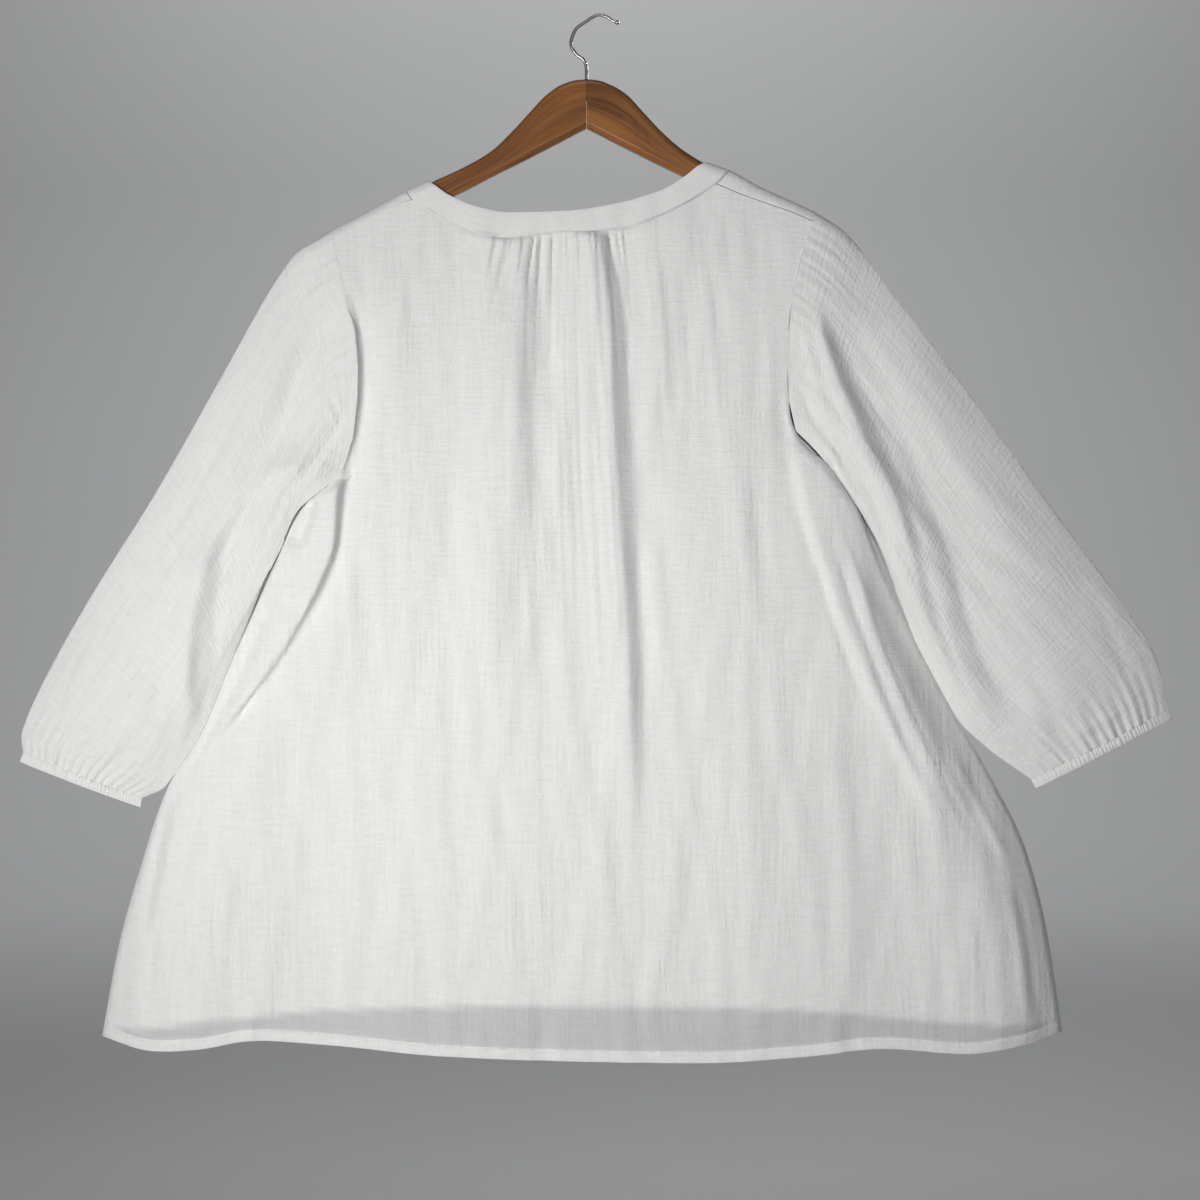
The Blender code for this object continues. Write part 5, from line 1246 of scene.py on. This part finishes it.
def makeArm(name, hand):
    # Half of the hanger: a section with a round top, flat sides and chamfered lower edges, carried out to the tip.
    rows = hanger["rows"]
    out = np.concatenate([[0.15, 0.6, 2, 5], np.linspace(8, 190, 90), [192, 194, 196, 197.2, 198]])
    top, under, thin = (smooth(rows[:, 0], rows[:, i]) for i in (1 if hand > 0 else 2, 3, 4))
    low = -under(out) - hanger["tilt"][hand] * out / hanger["to"]
    high = -top(out)
    half = hanger["half"] * thin(out)
    roundTop = np.minimum(half, (high - low) * 0.45)
    chamfer = np.minimum(hanger["chamfer"], (high - low) * 0.3)
    y, z = [], []
    for a in np.radians(np.linspace(0, 90, 12)):
        y.append(half * np.sin(a))
        z.append(high - roundTop * (1 - np.cos(a)))
    for share in (0.25, 0.5, 0.75, 0.97):
        y.append(half)
        z.append((1 - share) * (high - roundTop) + share * (low + chamfer))
    for a, b in ((1.0, 0.97), (0.975, 0.92), (0.75, 0.5), (0.54, 0.07), (0.5, 0.0), (0.25, -0.01), (0.0, -0.015)):
        y.append(half * a)
        z.append(low + chamfer * b)
    y, z = np.array(y), np.array(z)
    y, z = np.concatenate([y, -y[1:-1][::-1]]), np.concatenate([z, z[1:-1][::-1]])
    ring = np.stack([np.broadcast_to(hand * out, y.shape), y, z], axis=-1).transpose(1, 0, 2)
    centre = ring.mean(axis=1, keepdims=True)
    capped = np.concatenate([
        np.repeat(centre[:1], ring.shape[1], axis=1), centre[:1] + (ring[:1] - centre[:1]) * 0.5, ring,
        centre[-1:] + (ring[-1:] - centre[-1:]) * 0.5, np.repeat(centre[-1:], ring.shape[1], axis=1),
    ])
    capped[:2, :, 0], capped[-2:, :, 0] = hand * hanger["from"], hand * hanger["to"]
    alongArm = np.pad(runLength(ring[:, 0]), 2, mode="edge")
    across = runLength(ring[20])
    uv = np.stack(np.broadcast_arrays(alongArm[:, None], across[None, :]), axis=-1) + (500 * hand, 100 * hand)
    quads = gridFaces(*capped.shape[:2], ring=True, flip=hand > 0)
    piece = makeMesh(name, capped, quads, woodFinish, uv=uv, merge=True)
    piece.data.set_sharp_from_angle(angle=np.radians(40))
    return piece


def boreStem(arms):
    # The stem's hole, half in each arm, cut with the exact solver.
    bpy.ops.mesh.primitive_cylinder_add(vertices=32, **hanger["bore"])
    cutter = bpy.context.object
    for arm in arms:
        bore = arm.modifiers.new("stem hole", "BOOLEAN")
        bore.operation, bore.solver, bore.object = "DIFFERENCE", "EXACT", cutter
        bpy.context.view_layer.update()
        cutMesh = bpy.data.meshes.new_from_object(arm.evaluated_get(bpy.context.evaluated_depsgraph_get()))
        arm.modifiers.clear()
        arm.data = cutMesh
    bpy.data.objects.remove(cutter)


def makeHook():
    # A round wire carried along the bent path, thinned behind its end, where it swells into a ball.
    path = along(np.array(hanger["path"]) * (1, -1, 1))(np.linspace(0, 1, 220))
    for _ in range(6):
        path[1:-1] = (path[:-2] + 2 * path[1:-1] + path[2:]) / 4
    line, thick = path[:, :2], path[:, 2]
    way = unit(np.gradient(line, axis=0))
    length = runLength(line)
    radius = hanger["wire"] * thick
    fromBall = length - (length[-1] - hanger["ball"])
    radius = np.maximum(radius * (fromBall < 0), np.sqrt(np.clip(hanger["ball"] ** 2 - fromBall ** 2, 0, None)))
    radius[0], radius[-1] = 0, 0
    line[0] = line[1]
    length[0] = length[1]
    a = np.linspace(0, 2 * np.pi, 24, endpoint=False)
    normal = np.stack([-way[:, 1], way[:, 0]], axis=-1)
    around = (np.cos(a) * normal[:, :1], np.sin(a) + 0 * normal[:, :1], np.cos(a) * normal[:, 1:])
    offset = radius[:, None, None] * np.stack(around, axis=-1)
    points = np.stack([line[:, 0], 0 * length, line[:, 1]], axis=-1)[:, None] + offset
    uv = np.stack(np.broadcast_arrays(length[:, None], (a * 1.4)[None, :]), axis=-1)
    quads = gridFaces(*points.shape[:2], ring=True, flip=True)
    piece = makeMesh("hook_wire_bent", points, quads, steelFinish, uv=uv, merge=True)
    register(piece, "hook_wire", "hanger_hook")


arms = [makeArm("hanger_half_left", 1), makeArm("hanger_half_right", -1)]
boreStem(arms)
for arm, node in zip(arms, ("hanger_arm_left", "hanger_arm_right")):
    register(arm, "hanger_wood", node)
makeHook()
print("hanger made")


# ---- stitches: small beads of thread laid along the seams

stitch = {
    "long": 2.3, "pitch": 3.1, "thick": 0.28, "proud": 0.12,
    "fromEnd": 2.0, "belowFold": 1.3, "fromSplit": 4.0,  # where the rows of stitches lie
}


def beads(line, normal):
    # One bead every pitch along a line of points: an octahedron drawn out along the line.
    length = runLength(line)
    at = np.arange(stitch["fromEnd"], length[-1] - stitch["fromEnd"], stitch["pitch"])
    place = lambda d, values: np.stack([np.interp(d, length, values[:, i]) for i in range(3)], axis=-1)
    start, end = place(at, line), place(at + stitch["long"], line)
    up = unit(place(at + stitch["long"] / 2, normal))
    across = np.cross(unit(end - start), up)
    middle = (start + end) / 2 + up * stitch["proud"]
    ring = [middle + way * stitch["thick"] for way in (up, across, -up, -across)]
    corners = np.stack([start, *ring, end], axis=1)
    faces = np.array([(0, 1, 2), (0, 2, 3), (0, 3, 4), (0, 4, 1), (5, 2, 1), (5, 3, 2), (5, 4, 3), (5, 1, 4)])
    return corners, faces


def makeStitches(name, lines):
    points, triangles, start = [], [], 0
    for line, normal in lines:
        corners, faces = beads(line, normal)
        triangles.append((faces[None] + start + 6 * np.arange(len(corners))[:, None, None]).reshape(-1, 3))
        points.append(corners.reshape(-1, 3))
        start += 6 * len(corners)
    points, triangles = np.concatenate(points), np.concatenate(triangles)
    data = bpy.data.meshes.new(name)
    data.from_pydata((points * millimetre).tolist(), [], triangles.tolist())
    layer = data.uv_layers.new(name="cloth")
    layer.data.foreach_set("uv", (points[triangles.ravel()][:, ::2] * millimetre).ravel())
    data.shade_smooth()
    data.materials.append(bandGauze)
    piece = bpy.data.objects.new(name, data)
    bpy.context.scene.collection.objects.link(piece)
    register(piece, "gauze")
    return piece


def surfaceLine(x, z, side, proud):
    # Points on the body's surface and its normals, from the change of depth with x and z.
    here = body(x, z, side)
    normal = np.cross(body(x + 0.5, z, side) - here, body(x, z + 0.5, side) - here)
    normal = unit(normal * np.sign(normal[:, 1:2]) * side)
    return here + normal * proud, normal


stitchLines = []
for side in (1, -1):
    x = np.linspace(396, -389, 900)
    z = hemHeight[side](x) + cut["hemDeep"] - stitch["belowFold"]
    stitchLines.append(surfaceLine(x, z, side, cut["hemProud"]))
stitchLines.append((bandOuter[0] + (bandOuter[1] - bandOuter[0]) * 0.55, bandNormal[0]))
for hand in (1, -1):
    z = -np.linspace(split["top"] + 4, split["foot"] + 1, 60)
    half = np.interp(-z, (split["top"], split["foot"]), (split["topHalf"], split["footHalf"]))
    stitchLines.append(surfaceLine(split["x"] + hand * (half + stitch["fromSplit"]), z, -1, 0.05))
stitching = makeStitches("stitching", stitchLines)
print("stitches made")


# ---- floor, light and camera

# Metres
studio = {"floor": -1.02, "front": 4.6, "wall": -4.6, "top": 5.0, "half": 6.0, "round": 1.5,
          "colour": (0.56, 0.565, 0.57, 1)}


def makeBackdrop():
    # One sheet: the floor, a quarter circle, then the wall.
    a = np.linspace(0, np.pi / 2, 24)
    y = np.concatenate([[studio["front"]], studio["wall"] + studio["round"] * (1 - np.sin(a)), [studio["wall"]]])
    z = np.concatenate([[studio["floor"]], studio["floor"] + studio["round"] * (1 - np.cos(a)), [studio["top"]]])
    x = np.array([-studio["half"], studio["half"]])
    points = np.stack(np.broadcast_arrays(x[None, :], y[:, None], z[:, None]), axis=-1) / millimetre
    paint = makePlain("pale paint", studio["colour"], 0.85)
    wall = makeMesh("floor_and_wall", points, gridFaces(*points.shape[:2]), paint)


def addLight(name, place, aim, size, power, colour, spread=180):
    # A round area light that looks at a point, with its spread in degrees.
    data = bpy.data.lights.new(name, "AREA")
    data.shape, data.size, data.energy, data.color, data.spread = "DISK", size, power, colour, np.radians(spread)
    light = bpy.data.objects.new(name, data)
    light.location = place
    light.rotation_euler = (Vector(aim) - Vector(place)).to_track_quat("-Z", "Y").to_euler()
    bpy.context.scene.collection.objects.link(light)


makeBackdrop()
addLight("key", (0.70, 1.4, -0.62), (0.0, 0.0, -0.50), 0.65, 3.7, (1.0, 0.998, 0.985), 80)
addLight("fill", (-0.8, 2.6, -0.4), (0.0, 0.0, -0.5), 1.6, 4.5, (0.97, 0.98, 1.0))
addLight("top", (0.1, 0.9, 1.6), (0.0, 0.0, -0.3), 1.2, 4, (1, 1, 1))
addLight("wall", (0.0, -2.7, 3.0), (0.0, -4.6, -0.4), 2.0, 50, (1, 1, 1), 140)
addLight("behind", (-1.6, -3.2, 0.8), (0.0, 0.0, -0.5), 0.8, 3, (1, 1, 1), 40)
world = bpy.data.worlds.new("studio air")
world.use_nodes = True
world.node_tree.nodes["Background"].inputs["Color"].default_value = (0.9, 0.92, 0.95, 1)
world.node_tree.nodes["Background"].inputs["Strength"].default_value = 0.12
bpy.context.scene.world = world

view = {"sensor": 36.0, "focal": 93.98, "place": (-0.0112, 2.6, -0.4785)}  # millimetres, place in metres
lensData = bpy.data.cameras.new("camera")
lensData.sensor_width, lensData.lens = view["sensor"], view["focal"]
camera = bpy.data.objects.new("camera", lensData)
camera.location = view["place"]
camera.rotation_euler = (np.pi / 2, 0, np.pi)
bpy.context.scene.collection.objects.link(camera)
bpy.context.scene.camera = camera
bpy.context.scene.view_settings.view_transform = "Standard"
